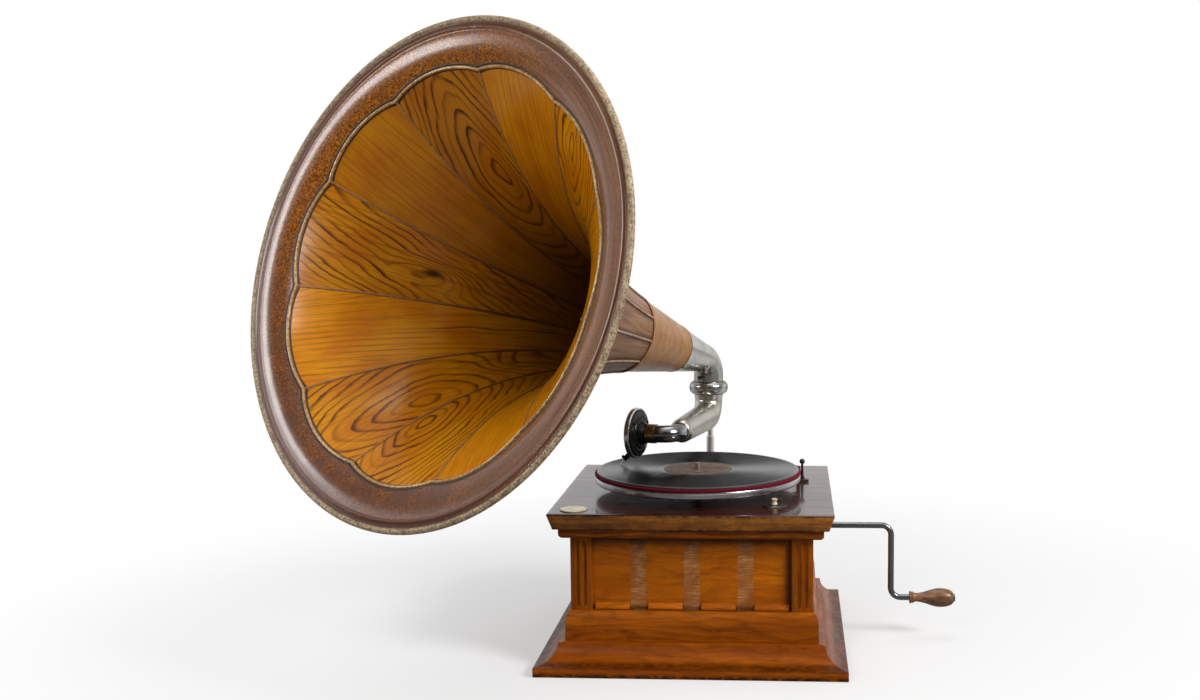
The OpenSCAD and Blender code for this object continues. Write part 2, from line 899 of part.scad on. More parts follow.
module spring_barrel() {
    drum = z_train + gear_w;
    color("darkgoldenrod")
        on_barrel()
            difference() {
                union() {
                    translate([0, 0, z_train])
                        rotate(180 + atan2(-spindle_y, barrel_x) + 180 / great_teeth)
                            linear_extrude(gear_w)
                                polygon(gear_outline(great_teeth, great_r));
                    translate([0, 0, drum - past])
                        cylinder(h = barrel_h + past, d = barrel_d);
                }
                translate([0, 0, drum])
                    cylinder(h = barrel_h - barrel_wall, d = barrel_d - 2 * barrel_wall);
                translate([0, 0, z_train - past])
                    cylinder(h = gear_w + barrel_h + 2 * past, d = arbor_d + 2 * run_gap);
            }
}

module mainspring() {
    color("steelblue")
        on_barrel()
            translate([0, 0, z_train + gear_w + seat_gap])
                difference() {
                    cylinder(h = barrel_h - barrel_wall - 2 * seat_gap,
                             d = barrel_d - 2 * barrel_wall - 2 * seat_gap);
                    translate([0, 0, -past])
                        cylinder(h = barrel_h + 2 * past, d = barrel_d / 2);
                }
}

module barrel_arbor() {
    color("gray")
        on_barrel()
            translate([0, 0, z_base])
                cylinder(h = z_plate + plate_t - z_base, d = arbor_d);
}

module winding_wheel() {
    rim_w = pinion_w + 1;
    disc_z = winding_z - tooth_root;
    thick = 5;
    color("darkgoldenrod")
        on_barrel()
            difference() {
                union() {
                    translate([0, 0, disc_z - thick])
                        cylinder(h = thick, r = winding_r + rim_w / 2);
                    for (i = [0 : winding_teeth - 1])
                        rotate((i + 0.5) * 360 / winding_teeth)
                            translate([winding_r - rim_w / 2, -0.45 * tooth_m, disc_z - past])
                                cube([rim_w - 0.2, 0.9 * tooth_m, past + tooth_root + tooth_tip]);
                }
                translate([0, 0, disc_z - thick - past])
                    cylinder(h = thick + 2 * past, d = arbor_d + 2 * run_gap);
            }
}

module winding_pinion() {
    color("darkgoldenrod")
        along_x(shaft_end, 0, crank_z)
            difference() {
                linear_extrude(pinion_w)
                    polygon(gear_outline(pinion_teeth, pinion_r));
                translate([0, 0, -past])
                    cylinder(h = pinion_w + 2 * past, d = rod_d + 2 * run_gap);
            }
}

module spindle() {
    color("gray")
        on_spindle() {
            translate([0, 0, z_base])
                cylinder(h = mat_z - z_base, d = spindle_d);
            translate([0, 0, mat_z - past])
                cylinder(h = record_top + record_pin_h - mat_z + past, d = record_pin_d);
        }
}

module spindle_gears() {
    mesh = atan2(-spindle_y, barrel_x);
    wheel_w = 8;
    color("darkgoldenrod")
        on_spindle() {
            difference() {
                translate([0, 0, z_train])
                    rotate(mesh)
                        linear_extrude(gear_w)
                            polygon(gear_outline(pinion_teeth, pinion_r));
                translate([0, 0, z_train - past])
                    cylinder(h = gear_w + 2 * past, d = spindle_d + 2 * run_gap);
            }
            difference() {
                translate([0, 0, governor_z - wheel_w / 2])
                    cylinder(h = wheel_w, r = worm_wheel_r);
                translate([0, 0, governor_z - wheel_w / 2 - past])
                    cylinder(h = wheel_w + 2 * past, d = spindle_d + 2 * run_gap);
            }
        }
}

module governor_shaft() {
    worm_l = 16;
    collar_d_shaft = 12;
    color("gray")
        union() {
            along_y(governor_x, -governor_half, governor_z)
                cylinder(h = 2 * governor_half, d = governor_d_shaft);
            along_y(governor_x, spindle_y - worm_l / 2, governor_z)
                cylinder(h = worm_l, r = worm_r);
            along_y(governor_x, disc_y, governor_z)
                cylinder(h = disc_t, d = governor_d);
            for (y = [governor_half - collar_near, governor_half - collar_far])
                along_y(governor_x, y, governor_z)
                    cylinder(h = 5, d = collar_d_shaft);
        }
}

module governor_weights() {
    arm = 9;
    spring_t = 0.8;
    spring_w = 5;
    span = 35;
    color("dimgray")
        for (turn = [0, 120, 240])
            along_y(governor_x, governor_half - collar_far, governor_z)
                rotate(turn) {
                    translate([6 + run_gap, -spring_w / 2, 0])
                        cube([spring_t, spring_w, span]);
                    translate([6 + run_gap + spring_t, 0, span / 2])
                        rotate([0, 90, 0])
                            cylinder(h = arm - 4, d = weight_d - 3);
                }
}

module platter() {
    r = platter_d / 2;
    wall = 3;
    color("silver")
        on_spindle()
            translate([0, 0, platter_z])
                rotate_extrude()
                    polygon([[spindle_d / 2 + run_gap, 0], [hub_d / 2, 0], [hub_d / 2, platter_h - platter_t],
                             [r - wall, platter_h - platter_t], [r - wall, 0], [r - 1, 0], [r, 1],
                             [r, platter_h - 1], [r - 1, platter_h], [spindle_d / 2 + run_gap, platter_h]]);
}

module felt_mat() {
    color("crimson")
        on_spindle()
            translate([0, 0, mat_z])
                difference() {
                    cylinder(h = mat_t, d = mat_d);
                    translate([0, 0, -past])
                        cylinder(h = mat_t + 2 * past, d = record_pin_d + 2 * run_gap);
                }
}

module record() {
    r = record_d / 2;
    color("black")
        on_spindle()
            translate([0, 0, record_z])
                rotate_extrude()
                    polygon([[record_pin_d / 2 + run_gap, 0], [r - record_t / 2, 0], [r, record_t / 2],
                             [r - record_t / 2, record_t], [record_pin_d / 2 + run_gap, record_t]]);
}

module record_label() {
    color("rosybrown")
        on_spindle()
            translate([0, 0, record_top])
                difference() {
                    cylinder(h = label_t, d = label_d);
                    translate([0, 0, -past])
                        cylinder(h = label_t + 2 * past, d = record_pin_d + 2 * run_gap);
                }
}

module crank_rod() {
    r = rod_d / 2;
    pin_l = grip_l + seat_gap;
    color("silver")
        union() {
            along_x(shaft_end, 0, crank_z)
                cylinder(h = arm_x - crank_bend + bend_join - shaft_end, r = r);
            translate([arm_x - crank_bend, 0, crank_z - crank_bend])
                rotate([90, 0, 0])
                    rotate_extrude(angle = 90)
                        translate([crank_bend, 0])
                            circle(r - bend_ease);
            translate([arm_x, 0, grip_z + crank_bend - bend_join])
                cylinder(h = crank_throw - 2 * crank_bend + 2 * bend_join, r = r);
            translate([arm_x + crank_bend, 0, grip_z + crank_bend])
                rotate([90, 180, 0])
                    rotate_extrude(angle = 90)
                        translate([crank_bend, 0])
                            circle(r - bend_ease);
            along_x(arm_x + crank_bend - bend_join, 0, grip_z)
                cylinder(h = grip_gap - crank_bend + bend_join, r = r);
            along_x(grip_x - past, 0, grip_z)
                cylinder(h = pin_l + 2 * past, d = grip_pin_d);
            along_x(grip_x + pin_l, 0, grip_z)
                cylinder(h = 1.5, d = grip_pin_d + 4);
        }
}

module crank_grip() {
    l = grip_l - seat_gap;
    r = grip_d / 2;
    bore = grip_pin_d / 2 + run_gap;
    flange_r = 0.66 * r;
    waist_r = 0.46 * r;
    color("burlywood")
        along_x(grip_x + seat_gap, 0, grip_z)
            rotate_extrude()
                polygon(concat([[bore, 0], [flange_r, 0], [flange_r, 0.07 * l]],
                               [for (i = [0 : 4]) let (a = i / 4)
                                   [waist_r + (r - waist_r) * (1 - cos(180 * a)) / 2, (0.14 + 0.56 * a) * l]],
                               arc(bore + 2, 0.7 * l, r - bore - 2, 0.3 * l, 18, 90, 5), [[bore, l]]));
}

module bracket_screw_places() {
    inset = foot_w / 2 - 8;
    for (x = [-inset, inset], z = [foot_z - inset, foot_z + inset])
        along_y(pivot_x + x, half_d - panel_recess, z)
            children();
}

module bracket_foot() {
    socket_l = 14;
    color("silver")
        difference() {
            union() {
                translate([pivot_x - foot_w / 2, half_d - panel_recess, foot_z - foot_w / 2])
                    cube([foot_w, panel_recess, foot_w]);
                along_y(pivot_x, half_d, foot_z)
                    cylinder(h = socket_l, d = bracket_d + 8);
            }
            along_y(pivot_x, half_d, foot_z)
                cylinder(h = socket_l + past, d = bracket_d + 2 * run_gap);
            bracket_screw_places()
                translate([0, 0, -past])
                    cylinder(h = panel_recess + 2 * past, d = bolt_d - 1 + 2 * run_gap);
        }
}

module bracket_screws() {
    color("darkgray")
        bracket_screw_places() {
            translate([0, 0, -wall_t / 2 + past])
                cylinder(h = wall_t / 2 + panel_recess - past, d = bolt_d - 1 - 2 * run_gap);
            translate([0, 0, panel_recess])
                cylinder(h = 2.5, d = 2 * bolt_d - 1);
        }
}

module bracket_rod() {
    r = bracket_d / 2;
    color("silver")
        union() {
            along_y(pivot_x, half_d, foot_z)
                cylinder(h = lug_y - bracket_bend - half_d, r = r);
            translate([pivot_x, lug_y - bracket_bend, foot_z + bracket_bend])
                rotate([-90, 0, 0])
                    bend(r, bracket_bend, 90);
            translate([pivot_x, lug_y, foot_z + bracket_bend])
                cylinder(h = bracket_step - foot_z - bracket_bend, r = r);
            translate([pivot_x, lug_y, bracket_step])
                cylinder(h = ring_top - bracket_step - 2, d = bracket_top_d);
        }
}

module swivel_ring() {
    r = ring_d / 2;
    low = neck_spigot_r + run_gap;
    high = spigot_r + run_gap;
    color("silver")
        difference() {
            union() {
                translate([pivot_x, pivot_y, ring_z])
                    rotate_extrude()
                        polygon(concat([[low, 0]],
                                       arc(r - ring_round, ring_round, ring_round, ring_round, -90, 0, 6),
                                       arc(r - ring_round, ring_h - ring_round, ring_round, ring_round,
                                           0, 90, 6),
                                       [[high, ring_h], [high, ring_ledge], [low, ring_ledge]]));
                difference() {
                    union() {
                        translate([pivot_x, lug_y, ring_z + 2])
                            cylinder(h = ring_h - 4, d = lug_d);
                        translate([pivot_x - lug_d / 3, pivot_y, ring_z + 4])
                            cube([2 * lug_d / 3, lug_y - pivot_y, ring_h - 8]);
                    }
                    translate([pivot_x, pivot_y, ring_z])
                        cylinder(h = ring_h, r = r - ring_round / 2);
                }
            }
            translate([pivot_x, lug_y, ring_z])
                cylinder(h = ring_h - 2 + run_gap, d = bracket_top_d + 2 * run_gap);
        }
}

module elbow() {
    bend_z = horn_z - elbow_tangent;
    bore = spigot_r - tube_t;
    cone_from = elbow_tangent - bend_join;
    bend_to = bend_z + bend_join;
    shoulder = ring_top + seat_gap;
    seat = ring_z + ring_ledge + flange_t + 4 * seat_gap;
    end_r = sleeve_d / 2 + horn_t - 0.3;
    plug_r = sleeve_d / 2 - run_gap;
    color("silver")
        difference() {
            union() {
                on_elbow() {
                    translate([0, 0, shoulder])
                        cylinder(h = bend_to - shoulder, r = elbow_r);
                    translate([0, 0, seat])
                        cylinder(h = shoulder - seat, r = spigot_r);
                    translate([0, -elbow_bend, bend_z])
                        bend(elbow_r, elbow_bend, elbow_angle);
                }
                on_horn() {
                    translate([0, 0, cone_from])
                        cylinder(h = sleeve_at - cone_from, r1 = elbow_r, r2 = end_r);
                    translate([0, 0, sleeve_at])
                        cylinder(h = spigot_l, r = plug_r);
                }
            }
            on_elbow() {
                translate([0, 0, seat - past])
                    cylinder(h = bend_to - seat + past, r = bore);
                translate([0, -elbow_bend, bend_z])
                    bend(bore, elbow_bend, elbow_angle);
            }
            on_horn() {
                translate([0, 0, cone_from])
                    cylinder(h = sleeve_at - cone_from, r1 = bore, r2 = plug_r - tube_t);
                translate([0, 0, sleeve_at])
                    cylinder(h = spigot_l + past, r = plug_r - tube_t);
            }
        }
}

module elbow_screw() {
    head_d = 5;
    screw_turn = 8;
    color("black")
        on_elbow()
            rotate(screw_turn)
                translate([0, -elbow_r, ring_top + seat_gap + head_d / 2 + 4])
                    rotate([90, 0, 0])
                        union() {
                            cylinder(h = 4, d = 3);
                            translate([0, 0, 3])
                                cylinder(h = 4, d = head_d);
                        }
}

module horn_sleeve() {
    color("peru")
        on_horn()
            rotate_extrude()
                polygon([[sleeve_d / 2, sleeve_at], [sleeve_d / 2 + horn_t, sleeve_at], sleeve_edge,
                         [band_d / 2, band_at]]);
}

module horn_band() {
    slope = (sleeve_edge[0] - sleeve_d / 2 - horn_t) / (sleeve_edge[1] - sleeve_at);
    end = off_wall(flare_wall[0], horn_t + rib_h)[1] - seat_gap;
    low = sleeve_edge[0] + run_gap - slope * (sleeve_edge[1] - end);
    color("saddlebrown")
        on_horn()
            rotate_extrude()
                polygon([[low, end], [low - slope * band_l, end - band_l],
                         [low - slope * band_l + rib_h, end - band_l], [low + rib_h, end]]);
}

// The mouth's side of the scalloped line, one round arch for each panel
module scallop_arch() {
    translate([scallop_centre, 0, band_at - past])
        cylinder(h = mouth_at - band_at + 2 * past, r = scallop_r);
}

module horn_panels() {
    color("goldenrod")
        on_horn()
            on_seams()
                intersection() {
                    rotate(seam_gap / 2)
                        rotate_extrude(angle = panel_angle - seam_gap)
                            polygon(strip(horn_wall, 0, horn_t));
                    rotate(panel_angle / 2)
                        scallop_arch();
                }
}

module outer_ribs() {
    turn = rib_w / (band_d / 2 + horn_t) / 2 * 180 / PI;
    color("tan")
        on_horn()
            on_seams()
                rotate(-turn / 2)
                    rotate_extrude(angle = turn)
                        polygon(strip(flare_wall, horn_t, horn_t + rib_h));
}

module horn_rim() {
    color("saddlebrown")
        on_horn()
            difference() {
                rotate_extrude()
                    polygon(strip(concat([flare_wall[flare_steps - 1]], [flare_wall[flare_steps]], lip_wall),
                                  0, horn_t));
                on_seams()
                    rotate(panel_angle / 2)
                        scallop_arch();
            }
}

module rim_roll() {
    curl = lip_bend * (1 - sin(lip_start + lip_angle));
    color("tan")
        on_horn()
            translate([0, 0, mouth_at - roll_d / 2])
                rotate_extrude()
                    translate([mouth_d / 2 - roll_d / 2 + run_gap, 0])
                        difference() {
                            circle(d = roll_d);
                            translate([-roll_d, -horn_t * 2])
                                square([roll_d, horn_t * 2 + curl + run_gap]);
                        }
}

module tone_arm() {
    r = arm_d / 2;
    tip_r = arm_tip_d / 2;
    shoulder = ring_z - seat_gap - arm_z;
    ledge = ring_z + ring_ledge + seat_gap - arm_z;
    bore = neck_spigot_r - tube_t;
    socket_r = neck_spigot_d / 2 + run_gap;
    color("silver")
        on_arm()
            difference() {
                union() {
                    translate([0, 0, arm_bend])
                        cylinder(h = shoulder - arm_bend, r1 = r, r2 = tube_d / 2);
                    translate([0, 0, shoulder])
                        cylinder(h = ledge + flange_t - shoulder, r = neck_spigot_r);
                    translate([0, 0, ledge])
                        cylinder(h = flange_t, r = spigot_r - 2 * seat_gap);
                    translate([0, -arm_bend, arm_bend])
                        rotate([-90, 0, 0])
                            bend(r, arm_bend, 90);
                    translate([0, -arm_bend, 0])
                        rotate([90, 0, 0])
                            cylinder(h = arm_l - arm_bend, r1 = r, r2 = tip_r);
                }
                translate([0, 0, arm_bend])
                    cylinder(h = ledge, r = bore);
                translate([0, -arm_bend, arm_bend])
                    rotate([-90, 0, 0])
                        bend(bore, arm_bend, 90);
                translate([0, -arm_bend, 0])
                    rotate([90, 0, 0])
                        cylinder(h = arm_l - arm_bend - neck_in, r1 = bore, r2 = socket_r);
                translate([0, neck_in - arm_l, 0])
                    rotate([90, 0, 0])
                        cylinder(h = neck_in + past, r = socket_r);
            }
}

module gooseneck() {
    r = neck_d / 2;
    bore = neck_spigot_d / 2 - tube_t;
    start = neck_at - neck_tangent;
    root = neck_in - arm_l - seat_gap;
    color("silver")
        difference() {
            union() {
                on_arm() {
                    translate([0, root, 0])
                        rotate([90, 0, 0])
                            cylinder(h = start + root, d = neck_spigot_d);
                    translate([0, -arm_l - seat_gap, 0])
                        rotate([90, 0, 0])
                            cylinder(h = start - arm_l - seat_gap, r = r);
                    translate([-neck_bend, -start, 0])
                        rotate(-neck_turn)
                            rotate_extrude(angle = neck_turn)
                                translate([neck_bend, 0])
                                    circle(r - bend_ease);
                }
                on_box(neck_tangent)
                    cylinder(h = collar_from - neck_tangent, r = r);
                on_box(neck_tangent)
                    cylinder(h = boss_from - neck_tangent, d = neck_spigot_d);
            }
            on_arm() {
                translate([0, root + past, 0])
                    rotate([90, 0, 0])
                        cylinder(h = start + root + past, r = bore);
                translate([-neck_bend, -start, 0])
                    rotate(-neck_turn)
                        rotate_extrude(angle = neck_turn)
                            translate([neck_bend, 0])
                                circle(bore - bend_ease);
            }
            on_box(neck_tangent)
                cylinder(h = boss_from - neck_tangent + past, r = bore);
        }
}

module neck_collar() {
    color("darkgoldenrod")
        on_box(collar_from)
            difference() {
                cylinder(h = collar_l, d = collar_d);
                translate([0, 0, -past])
                    cylinder(h = collar_l + 2 * past, d = neck_spigot_d + 2 * run_gap);
            }
}

module box_boss() {
    color("black")
        on_box(boss_from)
            difference() {
                cylinder(h = boss_l, d1 = collar_d, d2 = 1.25 * collar_d);
                translate([0, 0, -past])
                    cylinder(h = boss_l + 2 * past, d = neck_spigot_d - 2 * tube_t);
            }
}

module box_back() {
    r = box_d / 2 - box_lip - run_gap;
    color("black")
        on_box(box_reach)
            rotate_extrude()
                polygon([[neck_spigot_d / 2 - tube_t, 1 - box_t], [0.62 * r, 1 - box_t], [0.7 * r, 3 - box_t],
                         [r, -ring_back - 1], [r, 0], [r - 2, 0], [r - 2, -ring_back],
                         [neck_spigot_d / 2 - tube_t, -ring_back]]);
}

module box_ring() {
    r = box_d / 2;
    color("silver")
        on_box(box_reach)
            rotate_extrude()
                polygon([[r - box_lip, -ring_back], [r - 1, -ring_back], [r, 1 - ring_back],
                         [r, ring_front - 1], [r - 1, ring_front], [r - 3 * box_lip, ring_front],
                         [r - 3 * box_lip, disc_gap], [r - box_lip, disc_gap]]);
}

module diaphragm() {
    color("gainsboro")
        on_box(box_reach)
            cylinder(h = membrane_t, r = box_d / 2 - box_lip - run_gap);
}

// The needle bar's frame: the bar runs towards -Y from the middle of the diaphragm
module on_bar() {
    on_box(box_reach)
        rotate(needle_lean)
            children();
}

// The needle's frame: +Z runs from inside the holder to the needle's tip
module on_needle() {
    on_bar()
        translate([0, -needle_from, bar_z + bar_t / 2])
            rotate([90 - atan2(needle_rise, needle_drop), 0, 0])
                children();
}

module needle_bar() {
    color("dimgray")
        difference() {
            union() {
                on_bar() {
                    translate([0, 0, disc_gap])
                        cylinder(h = bar_z + bar_t / 2 - disc_gap, d = 3);
                    translate([-bar_w / 2, -holder_reach, bar_z])
                        cube([bar_w, holder_reach + bar_w / 2, bar_t]);
                    translate([-bar_w / 2, 3 - holder_reach, ring_front])
                        cube([bar_w, bar_w, bar_z + bar_t / 2 - ring_front]);
                }
                on_needle()
                    cylinder(h = holder_l, d = holder_d);
            }
            on_needle()
                cylinder(h = 2 * holder_l, d = needle_d + 2 * run_gap);
        }
}

module needle_screws() {
    color("black") {
        on_needle()
            translate([holder_d / 2, 0, holder_l - 3])
                rotate([0, 90, 0])
                    union() {
                        cylinder(h = 2.5, d = 2);
                        translate([0, 0, 2])
                            cylinder(h = 4, d = 4);
                    }
        on_bar()
            translate([0, 10 - holder_reach, bar_z + bar_t])
                cylinder(h = 1.2, d = 4);
    }
}

module needle() {
    l = norm([needle_drop, needle_rise]);
    point = 4;
    color("silver")
        on_needle() {
            cylinder(h = l - point, d = needle_d);
            translate([0, 0, l - point])
                cylinder(h = point, d1 = needle_d, d2 = 0.3);
        }
}

bottom_board();
plinth();
base_rails();
corner_posts();
front_panel();
back_panel();
left_panel();
right_panel();
panel_strips();
cornice();
deck();
roundel();
crank_escutcheon();
speed_plate();
speed_knob();
brake_screw();
brake_lever();
brake_shoe();
motor_plates();
motor_pillars();
motor_bolts();
motor_brackets();
regulator_lever();
spring_barrel();
mainspring();
barrel_arbor();
winding_wheel();
winding_pinion();
spindle();
spindle_gears();
governor_shaft();
governor_weights();
platter();
felt_mat();
record();
record_label();
crank_rod();
crank_grip();
bracket_foot();
bracket_screws();
bracket_rod();
swivel_ring();
elbow();
elbow_screw();
horn_sleeve();
horn_band();
horn_panels();
outer_ribs();
horn_rim();
rim_roll();
tone_arm();
gooseneck();
neck_collar();
box_boss();
box_back();
box_ring();
diaphragm();
needle_bar();
needle_screws();
needle();
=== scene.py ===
import bisect
from functools import partialmethod
from math import acos, atan2, cos, exp, pi, radians, sin, sqrt

import bmesh
import bpy
from mathutils import Matrix, Vector, noise


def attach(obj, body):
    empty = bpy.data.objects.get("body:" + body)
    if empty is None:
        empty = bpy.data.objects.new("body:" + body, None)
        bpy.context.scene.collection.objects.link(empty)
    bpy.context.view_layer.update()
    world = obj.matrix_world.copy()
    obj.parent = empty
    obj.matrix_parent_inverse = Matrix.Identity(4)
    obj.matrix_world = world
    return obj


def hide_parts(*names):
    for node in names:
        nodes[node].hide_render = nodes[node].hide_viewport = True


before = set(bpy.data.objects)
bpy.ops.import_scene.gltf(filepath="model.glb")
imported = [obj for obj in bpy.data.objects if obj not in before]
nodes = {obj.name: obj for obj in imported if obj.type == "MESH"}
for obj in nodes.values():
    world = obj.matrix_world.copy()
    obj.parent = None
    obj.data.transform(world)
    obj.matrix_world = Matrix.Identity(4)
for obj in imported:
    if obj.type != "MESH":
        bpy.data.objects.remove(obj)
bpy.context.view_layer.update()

scene = bpy.context.scene
scene.view_settings.view_transform = "Standard"

# Camera
# It stands a little to the right of the case and above the deck, and looks slightly down.
# The picture is the right part of a wider one, so the frame is shifted sideways.
camera = bpy.data.objects.new("camera", bpy.data.cameras.new("camera"))
camera.data.lens = 41.57
camera.data.sensor_width = 36
camera.data.shift_x = -0.0862
camera.data.clip_start = 0.05
camera.data.clip_end = 60
yaw, pitch, roll = radians(-3.59), radians(5.57), radians(-0.34)
ahead = Vector((sin(yaw) * cos(pitch), cos(yaw) * cos(pitch), -sin(pitch)))
level = Vector((cos(yaw), -sin(yaw), 0))
rise = level.cross(ahead)
side = cos(roll) * level + sin(roll) * rise
top = cos(roll) * rise - sin(roll) * level
tripod = Matrix.Translation((0.114, -1.704, 0.5264))
camera.matrix_world = tripod @ Matrix((side, top, -ahead)).transposed().to_4x4()
scene.collection.objects.link(camera)
scene.camera = camera

# Studio floor and light
# A white sweep under four softboxes: one high on the right, a tall one beside the camera, one left, one overhead.
# The camera's side is dim, which gives the polished metal and the varnish their dark reflections.
WHITE, PAPER, DIM_PAPER = (1, 1, 1, 1), (0.84, 0.84, 0.84, 1), (0.2, 0.2, 0.2, 1)
FLOOR_R, FLOOR_DROP = 9, 0.0004


def tint(*rgb):
    """A colour as it looks on a screen, 0 to 255, as the linear colour of a shader."""
    return tuple(c / 3294.6 if c < 11 else ((c / 255 + 0.055) / 1.055) ** 2.4 for c in rgb) + (1.0,)


class Value:
    """A number, vector or shader that differs from place to place, reckoned with as a plain number is."""

    def __init__(self, graph, socket):
        self.graph, self.socket = graph, socket

    def maths(self, operation, *others):
        return self.graph.add("Math", dict(enumerate((self,) + others)), operation=operation)

    __add__ = partialmethod(maths, "ADD")
    __sub__ = partialmethod(maths, "SUBTRACT")
    __mul__ = partialmethod(maths, "MULTIPLY")
    __truediv__ = partialmethod(maths, "DIVIDE")
    __pow__ = partialmethod(maths, "POWER")
    __abs__ = partialmethod(maths, "ABSOLUTE")
    larger = partialmethod(maths, "MAXIMUM")

    def ramp(self, low, high, at_low=0.0, at_high=1.0):
        """Runs softly from one level to another while the value goes from low to high."""
        return self.graph.add("MapRange", {"Value": self, "From Min": low, "From Max": high, "To Min": at_low,
                                           "To Max": at_high}, "Result", interpolation_type="SMOOTHSTEP")

    def fall(self, low, high, full=1.0):
        return self.ramp(low, high, full, 0.0)

    def band(self, start, full, fading, end):
        """A strip that rises from start to full and falls again from fading to end."""
        return self.ramp(start, full) * self.fall(fading, end)

    def parts(self):
        return [self.graph.add("SeparateXYZ", {0: self}, axis) for axis in "XYZ"]

    def far(self, point=(0, 0, 0)):
        return self.graph.add("VectorMath", {0: self, 1: point}, "Value", operation="DISTANCE")

    def noise(self, scale, detail=3.0, rough=0.55, warp=0.0):
        """Noise at one scale, or stretched by a scale for each axis."""
        spot = self
        if isinstance(scale, tuple):
            spot, scale = self.graph.add("VectorMath", {0: self, 1: scale}, operation="MULTIPLY"), 1.0
        return self.graph.add("TexNoise", {"Vector": spot, "Scale": scale, "Detail": detail, "Roughness": rough,
                                           "Distortion": warp}, "Fac")


class Nodes:
    """The nodes of a finish or of the sky, each wired up as it is added."""

    def __init__(self, tree):
        self.tree = tree

    def plug(self, socket, value):
        if isinstance(value, Value):
            self.tree.links.new(value.socket, socket)
        else:
            socket.default_value = value

    def add(self, kind, inputs, output=0, **settings):
        node = self.tree.nodes.new("ShaderNode" + kind)
        for name, value in settings.items():
            setattr(node, name, value)
        for socket, value in inputs.items():
            self.plug(node.inputs[socket], value)
        return Value(self, node.outputs[output])


class Finish(Nodes):
    """A material: coats of colour laid one over another, gloss, relief, and varnish of a weight and roughness."""

    def __init__(self, name, colour, varnish=(0.0, 0.03), **sockets):
        self.material = bpy.data.materials.new(name)
        self.material.use_nodes = True
        super().__init__(self.material.node_tree)
        self.shader = self.tree.nodes["Principled BSDF"]
        self.place = self.add("TexCoord", {}, "Object")
        self.coats = colour
        self.to("Coat Weight", varnish[0])
        self.to("Coat Roughness", varnish[1])
        for socket, value in sockets.items():
            self.to(socket.replace("_", " "), value)

    def to(self, socket, value):
        self.plug(self.shader.inputs[socket], value)

    def attribute(self, name):
        return self.add("Attribute", {}, "Vector", attribute_name=name)

    def over(self, under, colour, mask):
        return self.add("MixRGB", {"Fac": mask, "Color1": under, "Color2": colour})

    def lay(self, colour, mask):
        """Lays a colour over the coats so far, where the mask is."""
        self.coats = self.over(self.coats, colour, mask)
        self.to("Base Color", self.coats)

    def gloss(self, value, polished, dull, low=0.3, high=0.7):
        self.to("Roughness", value.ramp(low, high, polished, dull))

    def relief(self, height, depth, strength):
        self.to("Normal", self.add("Bump", {"Height": height, "Distance": depth, "Strength": strength}))


studio = bpy.data.worlds.new("studio")
scene.world = studio
studio.use_nodes = True
sky = Nodes(studio.node_tree)
sky.tree.nodes.clear()
_, back_to_front, up = sky.add("TexCoord", {}, "Generated").parts()
backdrop = back_to_front.ramp(-0.2, 0.5, 0.05, 1.0) * up.ramp(0.2, 0.6, 1.0, 0.45)
room = backdrop.larger(up.ramp(0.5, 0.95, 0.0, 0.7))
ambient, reflected, white = (sky.add("Background", {"Color": WHITE, "Strength": strength})
                             for strength in (0.33, room, 1.0))
seen, through, glossy = (sky.add("LightPath", {}, "Is %s Ray" % kind)
                         for kind in ("Camera", "Transmission", "Glossy"))
unseen_sky = sky.add("MixShader", {0: glossy, 1: ambient, 2: reflected})
whole_sky = sky.add("MixShader", {0: seen.larger(through), 1: unseen_sky, 2: white})
sky.plug(sky.tree.nodes.new("ShaderNodeOutputWorld").inputs["Surface"], whole_sky)

sweep = bmesh.new()
bmesh.ops.create_circle(sweep, cap_ends=True, radius=FLOOR_R, segments=96)
bmesh.ops.translate(sweep, vec=(0, 0, -FLOOR_DROP), verts=sweep.verts)
floor_mesh = bpy.data.meshes.new("floor")
sweep.to_mesh(floor_mesh)
sweep.free()
floor = bpy.data.objects.new("floor", floor_mesh)
scene.collection.objects.link(floor)
paper = Finish("floor_paper", DIM_PAPER, Roughness=0.9, Specular_IOR_Level=0.0)
on_camera = paper.add("LightPath", {}, "Is Camera Ray")
paper.lay(PAPER, paper.place.parts()[1].ramp(-0.2, 0.7))
paper.lay(PAPER, on_camera)
fade = paper.place.far().ramp(0.25, 1.05, 0.4, 1.0) * on_camera
glow = paper.add("Emission", {"Color": WHITE, "Strength": 1.0})
blended = paper.add("MixShader", {0: fade, 1: Value(paper, paper.shader.outputs[0]), 2: glow})
paper.plug(paper.tree.nodes["Material Output"].inputs["Surface"], blended)
floor_mesh.materials.append(paper.material)

for name, stand, aim, width, height, power in (
        ("right", (2.3, -1.4, 2.0), (-0.1, 0, 0.2), 1.0, 1.0, 80),
        ("front", (-0.72, -2.0, 1.3), (-0.42, -0.1, 0.45), 0.36, 1.15, 13),
        ("left", (-2.28, -0.82, 1.06), (-0.5, -0.2, 0.5), 0.36, 0.5, 8),
        ("overhead", (0, 0.4, 2.8), (0, 0, 0), 1.6, 1.6, 14)):
    lamp = bpy.data.objects.new(name, bpy.data.lights.new(name, "AREA"))
    lamp.data.shape = "RECTANGLE"
    lamp.data.size = width
    lamp.data.size_y = height
    lamp.data.energy = power
    lamp.visible_camera = False
    lamp.location = stand
    lamp.rotation_euler = (Vector(aim) - Vector(stand)).to_track_quat("-Z", "Y").to_euler()
    scene.collection.objects.link(lamp)

# Plinth
# Four mitred lengths of moulding in varnished oak: an upright foot with a hollow cove above it.
# They are glued and pinned round the case, and their lowest edges are knocked and dark with age.
MM = 0.001
HALF_W, HALF_D = 141.0, 136.5
SIDES = 2 * ((HALF_W, HALF_D), (HALF_D, HALF_W))
Z_RAIL, Z_WALL, Z_CORNICE, Z_DECK, Z_TOP = 33.5, 69.0, 155.5, 167.5, 186.5
MITRE_GAP, LONG_ARRIS = 0.06, 50


